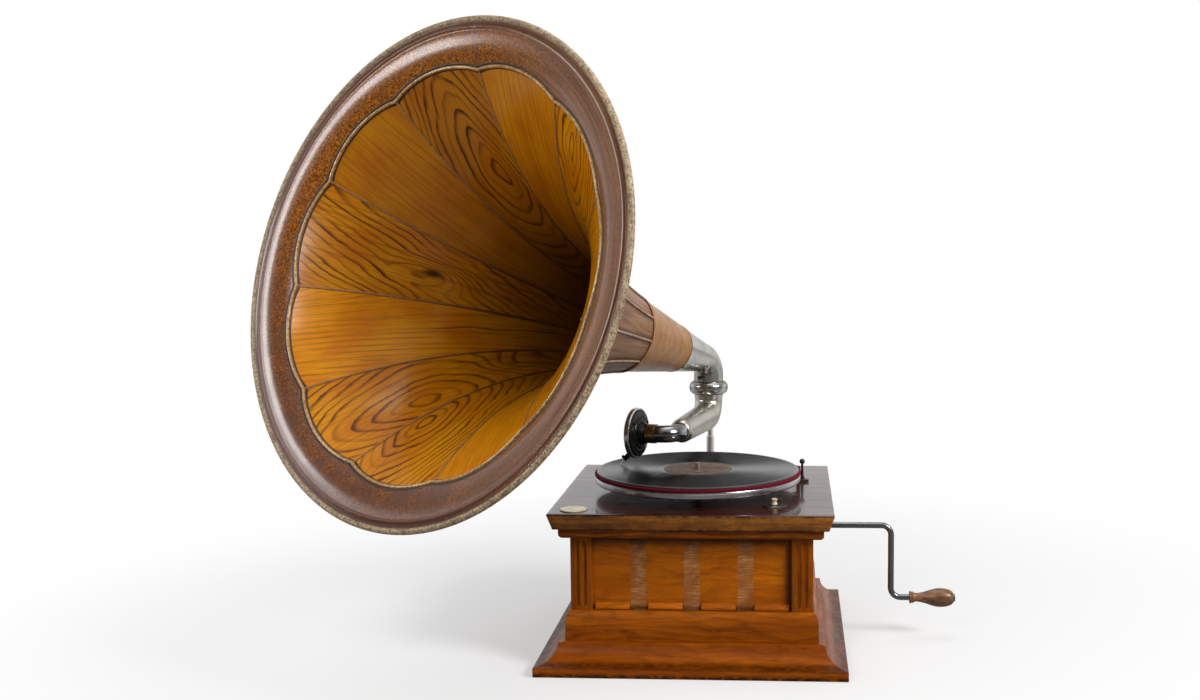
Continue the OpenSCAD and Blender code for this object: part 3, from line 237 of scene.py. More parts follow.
def arc(cx, cy, rx, ry, start, end, steps):
    """Points on part of an ellipse, from one angle in degrees to another."""
    turns = [radians(start + (end - start) * i / steps) for i in range(steps + 1)]
    return [(cx + rx * cos(a), cy + ry * sin(a)) for a in turns]


def notes(bm, name):
    """A vector on each vertex that a finish can read."""
    return bm.verts.layers.float_vector.new(name)


def timber():
    """An empty mesh whose vertices can carry the run of the grain."""
    bm = bmesh.new()
    notes(bm, "grain")
    return bm


def grain(bm, verts, order, board):
    """Notes each vertex's place in its board: along the grain, across the face and into the wood, in mm."""
    layer = bm.verts.layers.float_vector["grain"]
    for v in verts:
        v[layer] = Vector([v.co[axis] + apart * board for axis, apart in zip(order, (431, 97, 53))])


def since(bm, before):
    return [v for v in bm.verts if v not in before]


def turn_flat(bm, verts, angle):
    bmesh.ops.rotate(bm, cent=(0, 0, 0), matrix=Matrix.Rotation(angle, 3, "Z"), verts=verts)


def pushed(bm, outline, travel):
    """Pushes an outline through a distance, as a moulding is run off."""
    start = bm.faces.new([bm.verts.new(point) for point in outline])
    far_end = bmesh.ops.extrude_face_region(bm, geom=[start])["geom"]
    bmesh.ops.translate(bm, vec=travel, verts=[g for g in far_end if isinstance(g, bmesh.types.BMVert)])


def soften(bm, verts, offset, segments, sharpest, keep=lambda e: True):
    """Rounds the arrises among these vertices that are sharper than an angle."""
    chosen = set(verts)
    edges = [e for e in bm.edges if e.verts[0] in chosen and e.verts[1] in chosen and len(e.link_faces) == 2
             and e.calc_face_angle() > sharpest and keep(e)]
    bmesh.ops.bevel(bm, geom=edges, offset=offset, offset_type="OFFSET", segments=segments, profile=0.5,
                    affect="EDGES", material=-1, clamp_overlap=True)


def mouldings(profile, soft_edge, first_board):
    """Four lengths of a profile of (distance out, height), mitred round the case."""
    bm = timber()
    for i, (half, face) in enumerate(SIDES):
        before = set(bm.verts)
        pushed(bm, [(-1, -out, z) for out, z in profile], (2, 0, 0))
        for v in since(bm, before):
            v.co.x *= half - v.co.y - MITRE_GAP
            v.co.y -= face
        soften(bm, since(bm, before), soft_edge, 2, 0.5,
               lambda e: abs(e.verts[0].co.x - e.verts[1].co.x) > LONG_ARRIS)
        made = since(bm, before)
        grain(bm, made, (0, 2, 1), first_board + i)
        turn_flat(bm, made, i * pi / 2)
    bmesh.ops.recalc_face_normals(bm, faces=bm.faces)
    return bm


def settle(bm, name, body, finishes, stands_for=(), sharp=32):
    """Makes the finished piece from a mesh in mm, and hands it to the body that it moves with."""
    bmesh.ops.scale(bm, vec=(MM, MM, MM), verts=bm.verts)
    mesh = bpy.data.meshes.new(name)
    bm.to_mesh(mesh)
    bm.free()
    for each in finishes:
        mesh.materials.append(each.material)
    mesh.shade_smooth()
    mesh.set_sharp_from_angle(angle=radians(sharp))
    piece = bpy.data.objects.new(name, mesh)
    scene.collection.objects.link(piece)
    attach(piece, body)
    if stands_for:
        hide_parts(*stands_for)
    return piece


def oak(name, light, dark, deep, lines, gap, soil=0.55, wear_and_painted_light=None):
    """Varnished wood on the grain notes: slow bands of tone, growth lines, short dark pores and smudges."""
    wood = Finish(name, light, varnish=(0.12, 0.16), Specular_IOR_Level=0.1)
    board = wood.attribute("grain")
    flame = board.noise((0.022, 0.11, 0.11), 5, 0.62, 0.8)
    drift = board.noise((0.006, 0.02, 0.02))
    years = (board.parts()[1] / gap + drift * 7.0).maths("FRACT")
    pores = board.noise((0.07, 1.5, 1.5), 2, 0.5).ramp(0.56, 0.72)
    wood.lay(dark, board.noise((0.004, 0.035, 0.035), 4, 0.6, 0.4).ramp(0.3, 0.7))
    wood.lay(dark, flame.ramp(0.38, 0.68) * 0.6)
    wood.lay(deep, years.band(0.35, 0.88, 0.9, 1.0) * lines)
    wood.lay(deep, pores * 0.5)
    wood.lay(deep, board.noise((0.016, 0.05, 0.05), 5, 0.66, 0.6).ramp(0.5, 0.74) * soil)
    if wear_and_painted_light:
        wear_and_painted_light(wood)
    wood.gloss(flame, 0.3, 0.52, 0.2, 0.8)
    wood.relief(flame - pores * 0.6, 0.0002, 0.5)
    return wood


def knocked_foot(wood):
    """Dark nicks along the lowest edge, dirt where foot and cove meet, and a painted grey reflection on the side
    faces.
    """
    x, y, z = wood.place.parts()
    chips = wood.place.noise((126, 126, 273), 5, 0.72)
    nicks = z.fall(0.0008, 0.0075) * chips.ramp(0.38, 0.54)
    dirt = z.band(0.0085, 0.0115, 0.0125, 0.0165) * chips.ramp(0.25, 0.6, 0.15, 0.75)
    past_side, past_front = abs(x) - MM * HALF_W, abs(y) - MM * HALF_D
    # painted reflection: the side faces are tinted grey, as if they caught a glancing pale sky
    wood.lay(tint(142, 128, 120), (past_side - past_front).ramp(-0.0002, 0.0006, 0.0, 0.17))
    wood.lay(tint(40, 16, 4), nicks.larger(dirt))


AMBER_DARK, AMBER_DEEP = tint(142, 68, 1), tint(74, 32, 1)
plinth_oak = oak("plinth_oak", tint(166, 84, 2), tint(128, 58, 1), AMBER_DEEP, 0.22, 11.0, wear_and_painted_light=knocked_foot)
plinth_profile = [(0, 0), (39.5, 0)] + arc(39.5, Z_RAIL, -25.8, -22.5, 90, 0, 14) + [(0, Z_RAIL)]
settle(mouldings(plinth_profile, 0.9, 1), "plinth_moulding", "case", [plinth_oak], ["plinth"], 40)


# Bottom board
# A plain board of deal that closes the case inside the plinth.
# It is nailed up from below and left without varnish.
def speckled(name, grit, low, high, light, dark, gloss=None, relief=None, on=None, **sockets):
    """A finish of two tones mixed by one noise, which may give it its gloss and its relief too."""
    finish = Finish(name, light, **sockets)
    tone = (finish.attribute(on) if on else finish.place).noise(*grit)
    finish.lay(dark, tone.ramp(low, high))
    if gloss:
        finish.gloss(tone, *gloss)
    if relief:
        finish.relief(tone, *relief)
    return finish


def dress(finish, *names):
    """Gives CAD nodes their finish."""
    for name in names:
        mesh = nodes[name].data
        mesh.materials.clear()
        mesh.materials.append(finish.material)


deal = speckled("bare_deal", ((6, 160, 160), 5, 0.6, 0.5), 0.35, 0.7, tint(150, 110, 68), tint(96, 62, 34),
                relief=(0.0003, 0.5), Roughness=0.75)
dress(deal, "bottom_board")

# Base rails
# Four mitred lengths of oak above the plinth: a flat fascia that rolls over into a rounded top.
# They are glued against the posts and the wall panels.
rail_oak = oak("rail_oak", tint(186, 98, 2), AMBER_DARK, AMBER_DEEP, 0.3, 9.0, soil=0.7)
rail_profile = [(0, Z_RAIL), (6.2, Z_RAIL)] + arc(0, Z_RAIL + 17.5, 6.2, 18, 0, 90, 12)
settle(mouldings(rail_profile, 0.7, 6), "base_rail_moulding", "case", [rail_oak], ["base_rails"], 40)

# Corner posts
# Square posts of oak with two round flutes worked in each outer face, stopped short of both ends.
# They stand on the bottom board and carry the deck.
POST, FLUTE, ROUNDING = 25.0, 2.5, 1.0
Z_SEAT, Z_FLUTE_FOOT, Z_FLUTE_HEAD = 9, 74, 150.5
post_oak = oak("post_oak", tint(166, 86, 6), tint(128, 62, 3), tint(60, 26, 2), 0.2, 6.0)


def post_section(fluted):
    """Outline of a post whose outer faces look towards -X and -Y."""
    h, r, corner = POST / 2, ROUNDING, 0.29 * ROUNDING
    points = []
    for quarter, outer in ((0, True), (90, False), (180, False), (270, True)):
        spots = [(-h + r, -h)]
        if fluted and outer:
            for middle in (-POST / 6, POST / 6):
                spots += [(x, y - h) for x, y in arc(middle, 0, -FLUTE, FLUTE, 0, 180, 10)]
        spots += [(h - r, -h), (h - corner, -h + corner)]
        a = radians(quarter)
        points += [(x * cos(a) - y * sin(a), x * sin(a) + y * cos(a)) for x, y in spots]
    return points


posts = timber()
for i, (sx, sy) in enumerate(((-1, -1), (1, -1), (1, 1), (-1, 1))):
    before = set(posts.verts)
    for low, high, fluted in ((Z_SEAT, Z_FLUTE_FOOT, False), (Z_FLUTE_FOOT, Z_FLUTE_HEAD, True),
                              (Z_FLUTE_HEAD, Z_DECK, False)):
        pushed(posts, [(x, y, low) for x, y in post_section(fluted)], (0, 0, high - low))
    made = since(posts, before)
    turn_flat(posts, made, i * pi / 2)
    bmesh.ops.translate(posts, vec=(sx * (HALF_W - POST / 2), sy * (HALF_D - POST / 2), 0), verts=made)
    grain(posts, made, (2, 0, 1), 11 + i)
bmesh.ops.recalc_face_normals(posts, faces=posts.faces)
settle(posts, "fluted_posts", "case", [post_oak], ["corner_posts"], 38)

# Wall panels
# Four wide oak boards let in behind the posts, with a sunk field between base rail and cornice.
# On the front one three upright fillets have come away and left paler bands of bare wood with glue marks.
RECESS, PANEL = 8.0, 10.0
BAND_STEP, TOP_SHADE = 0.0625, MM * Z_CORNICE - 0.0145


def bare_bands(wood):
    """Bare bands on the front, and painted shade beside the right post, under the cornice and at the foot of the sunk
    field.
    """
    x, y, z = wood.place.parts()
    front = y.fall(-0.1275, -0.1265)
    from_band = abs(x).maths("MINIMUM", abs(abs(x) - BAND_STEP))
    ragged = wood.place.noise(260, 2) * 0.0012
    marks = wood.place.noise((60, 60, 1000), 4, 0.7)
    patch = wood.place.noise(46)
    bare = wood.over(tint(126, 72, 27), tint(202, 148, 98), marks.ramp(0.36, 0.66))
    bare = wood.over(bare, tint(138, 82, 35), patch.ramp(0.35, 0.7))
    wood.lay(bare, (from_band + ragged).fall(0.0092, 0.0104) * front * 0.82)
    # painted shade: the sunk field is darkened beside the right post, under the cornice and along its foot
    post_shadow_mask = (x + patch * 0.003).ramp(0.1075, 0.1145, 0.0, 0.88)
    cornice_shadow_mask = (z + patch * 0.004).ramp(TOP_SHADE, TOP_SHADE + 0.013, 0.0, 0.86)
    foot_shade_mask = (z - patch * 0.004).fall(0.0665, 0.0735, 0.7)
    wood.lay(tint(44, 18, 3), post_shadow_mask.larger(cornice_shadow_mask).larger(foot_shade_mask) * front)


panel_oak = oak("panel_oak", tint(204, 110, 2), tint(166, 84, 1), AMBER_DEEP, 0.22, 11.0, soil=0.4, wear_and_painted_light=bare_bands)
panel_section = [(0, Z_SEAT), (0, Z_WALL), (RECESS, Z_WALL), (RECESS, Z_CORNICE), (0, Z_CORNICE), (0, Z_DECK),
                 (RECESS + PANEL, Z_DECK), (RECESS + PANEL, Z_SEAT)]
for i, (name, (half, face)) in enumerate(zip(("front", "right", "back", "left"), SIDES)):
    length = 2 * (half - POST)
    board = timber()
    pushed(board, [(-length / 2, y, z) for y, z in panel_section], (length, 0, 0))
    bmesh.ops.recalc_face_normals(board, faces=board.faces)
    grain(board, board.verts, (0, 2, 1), 21 + i)
    bmesh.ops.translate(board, vec=(0, -face, 0), verts=board.verts)
    turn_flat(board, board.verts, i * pi / 2)
    settle(board, name + "_board", "case", [panel_oak], [name + "_panel"])

# Panel strips
# Four short bevelled strips of oak glued along the foot of the front panel.
# Their varnish is redder than the panel's.
STRIP_L, STRIP_T, STRIP_H = 40, 4.5, 7
strip_oak = oak("strip_oak", tint(212, 120, 12), tint(168, 82, 4), AMBER_DEEP, 0.3, 6.0, soil=0.4)
strip_section = [(0, 0), (STRIP_T, 0), (STRIP_T, STRIP_H / 3), (1, STRIP_H), (0, STRIP_H)]
strips = timber()
for i, x in enumerate((-93, -31, 31, 93)):
    before = set(strips.verts)
    pushed(strips, [(x - STRIP_L / 2, RECESS - HALF_D - out, Z_WALL + z) for out, z in strip_section],
           (STRIP_L, 0, 0))
    soften(strips, since(strips, before), 0.35, 2, 0.4)
    grain(strips, since(strips, before), (0, 2, 1), 31 + i)
bmesh.ops.recalc_face_normals(strips, faces=strips.faces)
settle(strips, "bevelled_strips", "case", [strip_oak], ["panel_strips"])

# Cornice
# A mitred oak moulding with a rounded lower edge, glued to the posts and panels under the deck.
# It lies in the shade of the overhang.
cornice_oak = oak("cornice_oak", tint(176, 92, 16), tint(120, 58, 8), tint(50, 22, 3), 0.45, 6.0, soil=0.6)
cornice_profile = [(0, Z_CORNICE)] + arc(6, Z_CORNICE + 6, 6, 6, -90, 0, 8) + [(12, Z_DECK), (0, Z_DECK)]
settle(mouldings(cornice_profile, 0.5, 36), "cornice_moulding", "case", [cornice_oak], ["cornice"], 40)

# Deck
# The motor board: a thick slab that overhangs the case, its edge bevelled inwards to the underside. The top is
# polished dark like mahogany, and the paler edge is chipped and dirty along both arrises.
DECK_W, DECK_D, DECK_T, UNDERCUT = 330, 321, 18.95, 6.2
WORN_X, WORN_Y, WEAR = 155, 151, 0.28
mahogany = Finish("deck_mahogany", tint(172, 108, 38), varnish=(0.5, 0.06), Specular_IOR_Level=0.12)
deck_grain, deck_z = mahogany.attribute("grain"), mahogany.place.parts()[2]
figure = deck_grain.noise((0.006, 0.09, 0.09), 6, 0.62, 0.6)
fleck = deck_grain.noise((0.05, 1.3, 1.3), 2).ramp(0.55, 0.75)
chips = mahogany.place.noise((66, 66, 168), 6, 0.74).ramp(0.43, 0.55)
arris = deck_z.ramp(0.1825, 0.1862).larger(deck_z.fall(0.1672, 0.1705))
red = mahogany.over(tint(76, 26, 14), tint(36, 11, 7), figure.ramp(0.36, 0.68))
red = mahogany.over(red, tint(22, 8, 6), fleck * 0.6)
mahogany.lay(tint(122, 68, 20), figure.ramp(0.34, 0.7))
mahogany.lay(tint(32, 16, 7), chips * (arris * 0.65 + 0.35))
mahogany.lay(red, deck_z.ramp(0.18545, 0.18585))
mahogany.gloss(figure, 0.22, 0.36, 0.2, 0.8)
mahogany.relief(figure - fleck * 0.5, 0.00012, 0.4)
slab = timber()
bmesh.ops.create_cube(slab, size=1)
bmesh.ops.scale(slab, vec=(DECK_W, DECK_D, DECK_T), verts=slab.verts)
bmesh.ops.translate(slab, vec=(0, 0, Z_DECK + DECK_T / 2), verts=slab.verts)
for v in slab.verts:
    if v.co.z < Z_DECK + 1:
        v.co.x *= 1 - 2 * UNDERCUT / DECK_W
        v.co.y *= 1 - 2 * UNDERCUT / DECK_D
bmesh.ops.subdivide_edges(slab, edges=[e for e in slab.edges if e.calc_length() > 100], cuts=40,
                          use_grid_fill=True)
soften(slab, list(slab.verts), 1.1, 3, 0.6)
for v in slab.verts:
    if abs(v.co.x) > WORN_X or abs(v.co.y) > WORN_Y:
        worn = noise.noise(v.co * 0.035) + 0.6 * noise.noise(v.co * 0.11)
        v.co -= Vector((2 * v.co.x / DECK_W, 2 * v.co.y / DECK_D, 0.3)) * WEAR * max(worn, 0)
grain(slab, slab.verts, (0, 1, 2), 41)
settle(slab, "deck_slab", "case", [mahogany], ["deck"], 50)

# Roundel
# A turned disc of old ivory-coloured celluloid with a raised border. Its face is bare.
# It is pinned to the front left corner of the deck.
ivory = speckled("aged_ivory", (120, 4, 0.6), 0.35, 0.7, tint(232, 222, 192), tint(196, 176, 132),
                 relief=(0.0001, 0.4), Roughness=0.34, varnish=(0.3, 0.2), Subsurface_Weight=0.05)


def faces_of(verts):
    return list({f for v in verts for f in v.link_faces})


def turned(bm, profile, steps, place=Matrix()):
    """Spins an outline of (radius, height) a full turn, merges its seam and poles, and puts it in its place."""
    before = set(bm.verts)
    outline = [bm.verts.new((r, 0, z)) for r, z in profile]
    edges = [bm.edges.new(pair) for pair in zip(outline, outline[1:])]
    bmesh.ops.spin(bm, geom=outline + edges, cent=(0, 0, 0), axis=(0, 0, 1), angle=2 * pi, steps=steps,
                   use_merge=True, use_duplicate=False)
    bmesh.ops.remove_doubles(bm, verts=since(bm, before), dist=0.0005)
    made = since(bm, before)
    bmesh.ops.recalc_face_normals(bm, faces=faces_of(made))
    bmesh.ops.transform(bm, matrix=place, verts=made)


def lathe(name, body, finish, stands_for, profile, steps, place, sharp=32):
    """A piece that is all one turning."""
    bm = bmesh.new()
    turned(bm, profile, steps, place)
    settle(bm, name, body, [finish], stands_for, sharp)


lathe("ivory_roundel", "case", ivory, ["roundel"],
      [(0, 0), (15.6, 0), (16, 0.3), (16, 0.8), (15.5, 1.25), (14.6, 1.5), (13.4, 1.45), (12.9, 1.25), (12.4, 1.3),
       (6, 1.55), (0, 1.6)], 64, Matrix.Translation((-137, -132.5, Z_TOP)))


# Crank escutcheon
# A nickelled bush pressed into the right wall, which the crank's shaft turns in.
# Its plate has kept more shine than the rest.
def nickel(name, colour, rough, smear=0.14, spots=0.25, edge=1.0):
    """Old nickel plate, smeared and pitted, with a warm grey tarnish. Edge dims it at a glancing angle."""
    plating = Finish(name, colour, Metallic=1.0, Specular_Tint=(edge, edge, edge, 1))
    cloud = plating.place.noise(38, 5, 0.62, 0.6)
    tarnish = tuple(c * f for c, f in zip(colour, (0.66, 0.63, 0.58, 1.0)))
    plating.lay(tarnish, cloud.ramp(0.42, 0.75) * 0.6)
    plating.lay(tint(96, 86, 72), plating.place.noise(700, 2, 0.5).ramp(0.66, 0.78) * spots)
    plating.gloss(cloud, rough, rough + smear, 0.25, 0.75)
    return plating


def buffed(node, name, body, finish):
    """Shows a CAD node by a copy whose triangles are joined, so that light runs over its curves unbroken."""
    plain = nodes[node].data.copy()
    plain.attributes.remove(plain.attributes["custom_normal"])
    bm = bmesh.new()
    bm.from_mesh(plain)
    bpy.data.meshes.remove(plain)
    bmesh.ops.scale(bm, vec=(1 / MM, 1 / MM, 1 / MM), verts=bm.verts)
    bmesh.ops.remove_doubles(bm, verts=bm.verts, dist=0.005)
    bmesh.ops.recalc_face_normals(bm, faces=bm.faces)
    settle(bm, name, body, [finish], [node], 34)


nickel_bright = nickel("nickel_bright", (0.72, 0.71, 0.69, 1), 0.13)
buffed("crank_escutcheon", "crank_rosette", "case", nickel_bright)

# Speed regulator
# A nickelled dial plate let on to the deck, with a raised rim and plain tick marks.
# A small turned knob of ivory-coloured celluloid stands over it on the regulator's shaft.
SPEED = Matrix.Translation((96, -103, Z_TOP))
dial_nickel = nickel("dial_nickel", (0.17, 0.15, 0.13, 1), 0.3, 0.2, 0.6)
dial = bmesh.new()
turned(dial, [(2.1, 0), (14, 0), (14, 0.7), (13.5, 1.15), (12.6, 1.2), (12.1, 0.8), (8.6, 0.75), (8.2, 1.05),
              (6.4, 1.15), (5.9, 0.8), (2.1, 0.8), (2.1, 0)], 72, SPEED)
for i in range(13):
    before = set(dial.verts)
    bmesh.ops.create_cube(dial, size=1)
    tick = since(dial, before)
    bmesh.ops.scale(dial, vec=(2.2 if i % 3 else 2.9, 0.4, 0.4), verts=tick)
    bmesh.ops.translate(dial, vec=(10.4, 0, 0.85), verts=tick)
    turn_flat(dial, tick, radians(30 + 20 * i))
    bmesh.ops.transform(dial, matrix=SPEED, verts=tick)
settle(dial, "speed_dial", "case", [dial_nickel], ["speed_plate"])
knob = bmesh.new()
turned(knob, [(0, 1.5), (3.2, 1.5), (3.5, 1.8), (3.3, 2.6), (2.6, 4.0), (2.5, 5.2), (2.8, 6.3), (3.45, 7.2),
              (3.5, 8.0), (3.0, 8.7), (1.8, 9.0), (0, 9.0)], 40, SPEED)
turned(knob, [(0, -58), (2, -58), (2, 1.6), (0, 1.6)], 24, SPEED)
settle(knob, "speed_knob_turned", "speed", [ivory], ["speed_knob"])

# Brake
# A dark iron lever on a shouldered screw, with a small ball for the finger.
# A leather shoe is fixed to it and swings against the platter's rim.
iron = speckled("blackened_iron", (160, 5, 0.65), 0.4, 0.7, tint(74, 70, 68), tint(66, 42, 30), (0.34, 0.6),
                (0.0001, 0.4), Metallic=0.85)
worn_nickel = nickel("worn_nickel", (0.50, 0.48, 0.45, 1), 0.26, 0.2, 0.6)
leather = speckled("brake_leather", (300, 4), 0.35, 0.7, tint(140, 98, 58), tint(92, 58, 30), Roughness=0.7,
                   Specular_IOR_Level=0.25)
pebbles = leather.add("TexVoronoi", {"Vector": leather.place, "Scale": 1400.0}, "Distance")
leather.relief(pebbles, 0.0001, 0.6)
buffed("brake_lever", "brake_bar", "brake", iron)
dress(worn_nickel, "brake_screw")
dress(leather, "brake_shoe")

# Motor
# The spring motor hangs under the deck on four pillars: steel plates and shafts, brass wheels. It can only be
# seen with the case open, so its CAD solids carry plain machined finishes.
steel = speckled("motor_steel", ((30, 30, 900),), 0.3, 0.7, (0.46, 0.46, 0.47, 1), (0.34, 0.33, 0.33, 1),
                 (0.28, 0.42), Metallic=1.0)
brass = speckled("old_brass", (90, 5, 0.65, 0.5), 0.35, 0.7, (0.42, 0.30, 0.10, 1), (0.19, 0.13, 0.05, 1),
                 (0.24, 0.44), Metallic=1.0)
dress(steel, "motor_plates", "motor_pillars", "motor_bolts", "motor_brackets", "regulator_lever", "mainspring",
      "barrel_arbor", "governor_shaft")
dress(brass, "spring_barrel", "winding_wheel", "winding_pinion", "spindle_gears", "governor_weights")

# Turntable
# A pressed and nickelled steel platter, dark underneath, whose turned rim shows fine lathe lines.
# It sits on the motor's spindle, and the spindle's pin stands up through it.
TABLE = Matrix.Translation((0, -11, 0))
RIM_INSIDE, RIM_TOP = 124.2, 207
platter_nickel = speckled("platter_nickel", (30, 4), 0.4, 0.7, (0.52, 0.51, 0.52, 1), (0.36, 0.35, 0.35, 1),
                          Metallic=1.0)
platter_nickel.gloss(platter_nickel.place.noise((6, 6, 2600)), 0.16, 0.3)
platter = bmesh.new()
turned(platter, [(4.05, 199.5), (11, 199.5), (11, 204.9), (124, 204.9), (124, 199.9), (124.4, 199.5),
                 (125.6, 199.5), (126.4, 199.8), (126.9, 200.5), (127, 201.2), (127, 205.4), (126.6, 205.9),
                 (126.6, 206.5), (127, 206.9), (126.8, 207.3), (126.2, 207.5), (4.05, 207.5), (4.05, 199.5)],
       160, TABLE)
for f in platter.faces:
    middle = f.calc_center_median() - TABLE.translation
    if middle.xy.length < RIM_INSIDE and middle.z < RIM_TOP:
        f.material_index = 1
settle(platter, "platter_turned", "turntable", [platter_nickel, iron], ["platter"])
buffed("spindle", "spindle_pin", "turntable", nickel_bright)

# Felt mat
# A thick disc of crimson felt glued to the platter.
# Its cut edge stands a little past the platter and is fuzzy.
CUT_EDGE, FUZZ = 126, 0.35
felt = speckled("crimson_felt", (520, 5, 0.7, 0.8), 0.3, 0.7, tint(124, 14, 38), tint(66, 5, 18),
                relief=(0.0006, 0.9), Roughness=0.95, Specular_IOR_Level=0.1, Sheen_Weight=0.5,
                Sheen_Roughness=0.4, Sheen_Tint=tint(230, 120, 130))
mat = bmesh.new()
turned(mat, [(3.7, 207.55), (60, 207.55), (126.4, 207.55), (127.1, 207.9), (127.35, 208.5), (127.4, 209.4),
             (127.3, 210.4), (127.0, 210.95), (126.3, 211.25), (60, 211.25), (3.7, 211.25), (3.7, 207.55)], 360)
for v in mat.verts:
    reach = sqrt(v.co.x ** 2 + v.co.y ** 2)
    if reach > CUT_EDGE:
        fluff = noise.noise(v.co * 0.9) + 0.6 * noise.noise(v.co * 2.3)
        v.co.x += v.co.x / reach * FUZZ * fluff
        v.co.y += v.co.y / reach * FUZZ * fluff
bmesh.ops.transform(mat, matrix=TABLE, verts=mat.verts)
felt_disc = settle(mat, "felt_disc", "turntable", [felt], ["felt_mat"], 60)

# Record
# A pressed shellac disc: a plain lead-in at the rim, cut grooves, and a smooth run-out round the label. The grooves
# are real rings, and its gloss is drawn out across them, so that light runs over the disc in a bow.
PIN = (0, -0.011, 0.2133)
GROOVES, FIRST_GROOVE = 72, 120.4
shellac = speckled("black_shellac", (60, 5, 0.62, 0.4), 0.4, 0.75, tint(21, 20, 21), tint(28, 26, 27), (0.28, 0.34),
                   Specular_IOR_Level=0.2, Anisotropic=0.88)
shellac.lay(tint(78, 77, 78), shellac.place.far(PIN).ramp(0.1205, 0.1215) * 0.8)
shellac.lay(tint(92, 88, 84), shellac.place.noise(1500, 2).ramp(0.66, 0.78) * 0.15)
from_pin = shellac.add("VectorMath", {0: shellac.place, 1: PIN}, operation="SUBTRACT")
shellac.to("Tangent", shellac.add("VectorTransform", {0: from_pin}, vector_type="VECTOR", convert_from="OBJECT",
                                  convert_to="WORLD"))
record_outline = [(3.65, 211.3), (124, 211.3), (124.8, 211.7), (125, 212.3), (124.8, 212.9), (124.2, 213.25),
                  (121.2, 213.25)]
for i in range(GROOVES):
    record_outline += [(FIRST_GROOVE - i, 213.28), (FIRST_GROOVE - i - 0.5, 213.1)]
record_outline += [(47.6, 213.25), (44.5, 213.28), (43.6, 213.12), (42.9, 213.28), (3.65, 213.28), (3.65, 211.3)]
lathe("shellac_record", "turntable", shellac, ["record"], record_outline, 180, TABLE, 70)

# Record label
# A plain paper disc pressed into the middle of the record.
# It is browned and rubbed, with one fine ring near its edge.
label_paper = speckled("label_paper", (85, 5, 0.66, 0.5), 0.35, 0.7, tint(112, 92, 78), tint(72, 56, 46),
                       relief=(0.0001, 0.4), Roughness=0.62, Specular_IOR_Level=0.3)
label_paper.lay(tint(150, 128, 96), label_paper.place.far(PIN).band(0.0385, 0.0387, 0.0393, 0.0395) * 0.7)
lathe("paper_label", "turntable", label_paper, ["record_label"],
      [(3.65, 213.3), (42, 213.3), (42, 213.42), (41.7, 213.5), (20, 213.5), (7, 213.5), (6.2, 213.44),
       (3.65, 213.44), (3.65, 213.3)], 96, TABLE)

# Crank
# A steel rod bent twice cold, which screws on to the winding shaft.
# Its plating is worn to bare grey metal.
rod_steel = nickel("rod_steel", (0.27, 0.28, 0.30, 1), 0.17, 0.16, 0.5)
buffed("crank_rod", "crank_bar", "crank", rod_steel)

# Crank grip
# Turned beech with a collar at the rod, a slim waist and a full end, stained brown and polished by the hand.
# It runs loose on the end of the crank.
GRIP = Matrix.Translation((262.7, 0, 50)) @ Matrix.Rotation(pi / 2, 4, "Y")
beech = speckled("grip_beech", ((26, 420, 420), 5, 0.6, 0.4), 0.36, 0.68, tint(146, 100, 66), tint(98, 62, 36),
                 (0.3, 0.46), (0.0002, 0.4), varnish=(0.35, 0.22), Specular_IOR_Level=0.4)
beech.lay(tint(66, 40, 24), beech.place.noise(70, 4, 0.6).ramp(0.48, 0.72) * 0.6)
grip_outline = [(3.05, 0), (7.2, 0), (7.7, 0.5), (7.75, 1.6), (7.3, 2.3), (6.6, 2.6), (7.2, 3.1), (7.3, 3.9),
                (6.7, 4.6)]
grip_outline += [(5.38 + 6.32 * (1 - cos(pi * i / 12)) / 2, 7.6 + 30.4 * i / 12) for i in range(13)]
grip_outline += arc(5.05, 38.1, 6.65, 16.3, 10, 90, 10) + [(3.4, 54.4), (3.05, 54.2), (3.05, 0)]
lathe("turned_grip", "grip", beech, ["crank_grip"], grip_outline, 64, GRIP, 42)

# Back bracket
# A cast foot screwed to the back panel carries a bent rod that holds the swivel.
# The rod is thinner towards its top, and its plate is duller than the foot's.
nickel_satin = nickel("nickel_satin", (0.56, 0.55, 0.51, 1), 0.22, 0.1, 0.35, 0.8)
rod_nickel = nickel("rod_nickel", (0.86, 0.84, 0.80, 1), 0.4, 0.1, 0.3)
dress(nickel_satin, "bracket_foot")
dress(worn_nickel, "bracket_screws")
buffed("bracket_rod", "bracket_bar", "case", rod_nickel)

# Swivel ring and elbow
# A polished ring on the bracket holds both tubes. The elbow of drawn tube above it turns with the horn,
# and a small black set screw locks the horn in it.
ring_nickel = nickel("ring_nickel", (0.58, 0.57, 0.54, 1), 0.19, 0.1, 0.3, 0.3)
buffed("swivel_ring", "swivel_collar", "case", ring_nickel)
buffed("elbow", "elbow_tube", "horn", nickel_satin)
dress(iron, "elbow_screw")

# Horn sleeve
# A rolled cone of thin veneer that joins the panels to the elbow.
# It is stained tan and scratched, with a dark line at its small end, and its inside is darkened with painted shade.
SWIVEL_X, SWIVEL_Y = 2.2, 186.5
HORN = (Matrix.Translation((SWIVEL_X, SWIVEL_Y, 328.5)) @ Matrix.Rotation(radians(-32.3), 4, "Z")
        @ Matrix.Rotation(radians(90 - 15.4), 4, "X"))
SLEEVE_TAPER, SPUN_R = 0.1762, 60
veneer = speckled("sleeve_veneer", ((0.06, 0.06, 1.0), 5, 0.66, 0.3), 0.35, 0.68, tint(166, 115, 57),
                  tint(146, 96, 45), relief=(0.0002, 0.4), on="spun", varnish=(0.3, 0.25),
                  Specular_IOR_Level=0.4)
spun = veneer.attribute("spun")
_, sleeve_along, sleeve_reach = spun.parts()
cloudy = spun.noise((0.03, 0.03, 1.0), 4)
scored = abs(spun.noise((0.012, 0.05, 1.0), 1, 0.4, 2.2) - 0.44)
veneer.lay(tint(116, 75, 38), cloudy.ramp(0.5, 0.75) * 0.5)
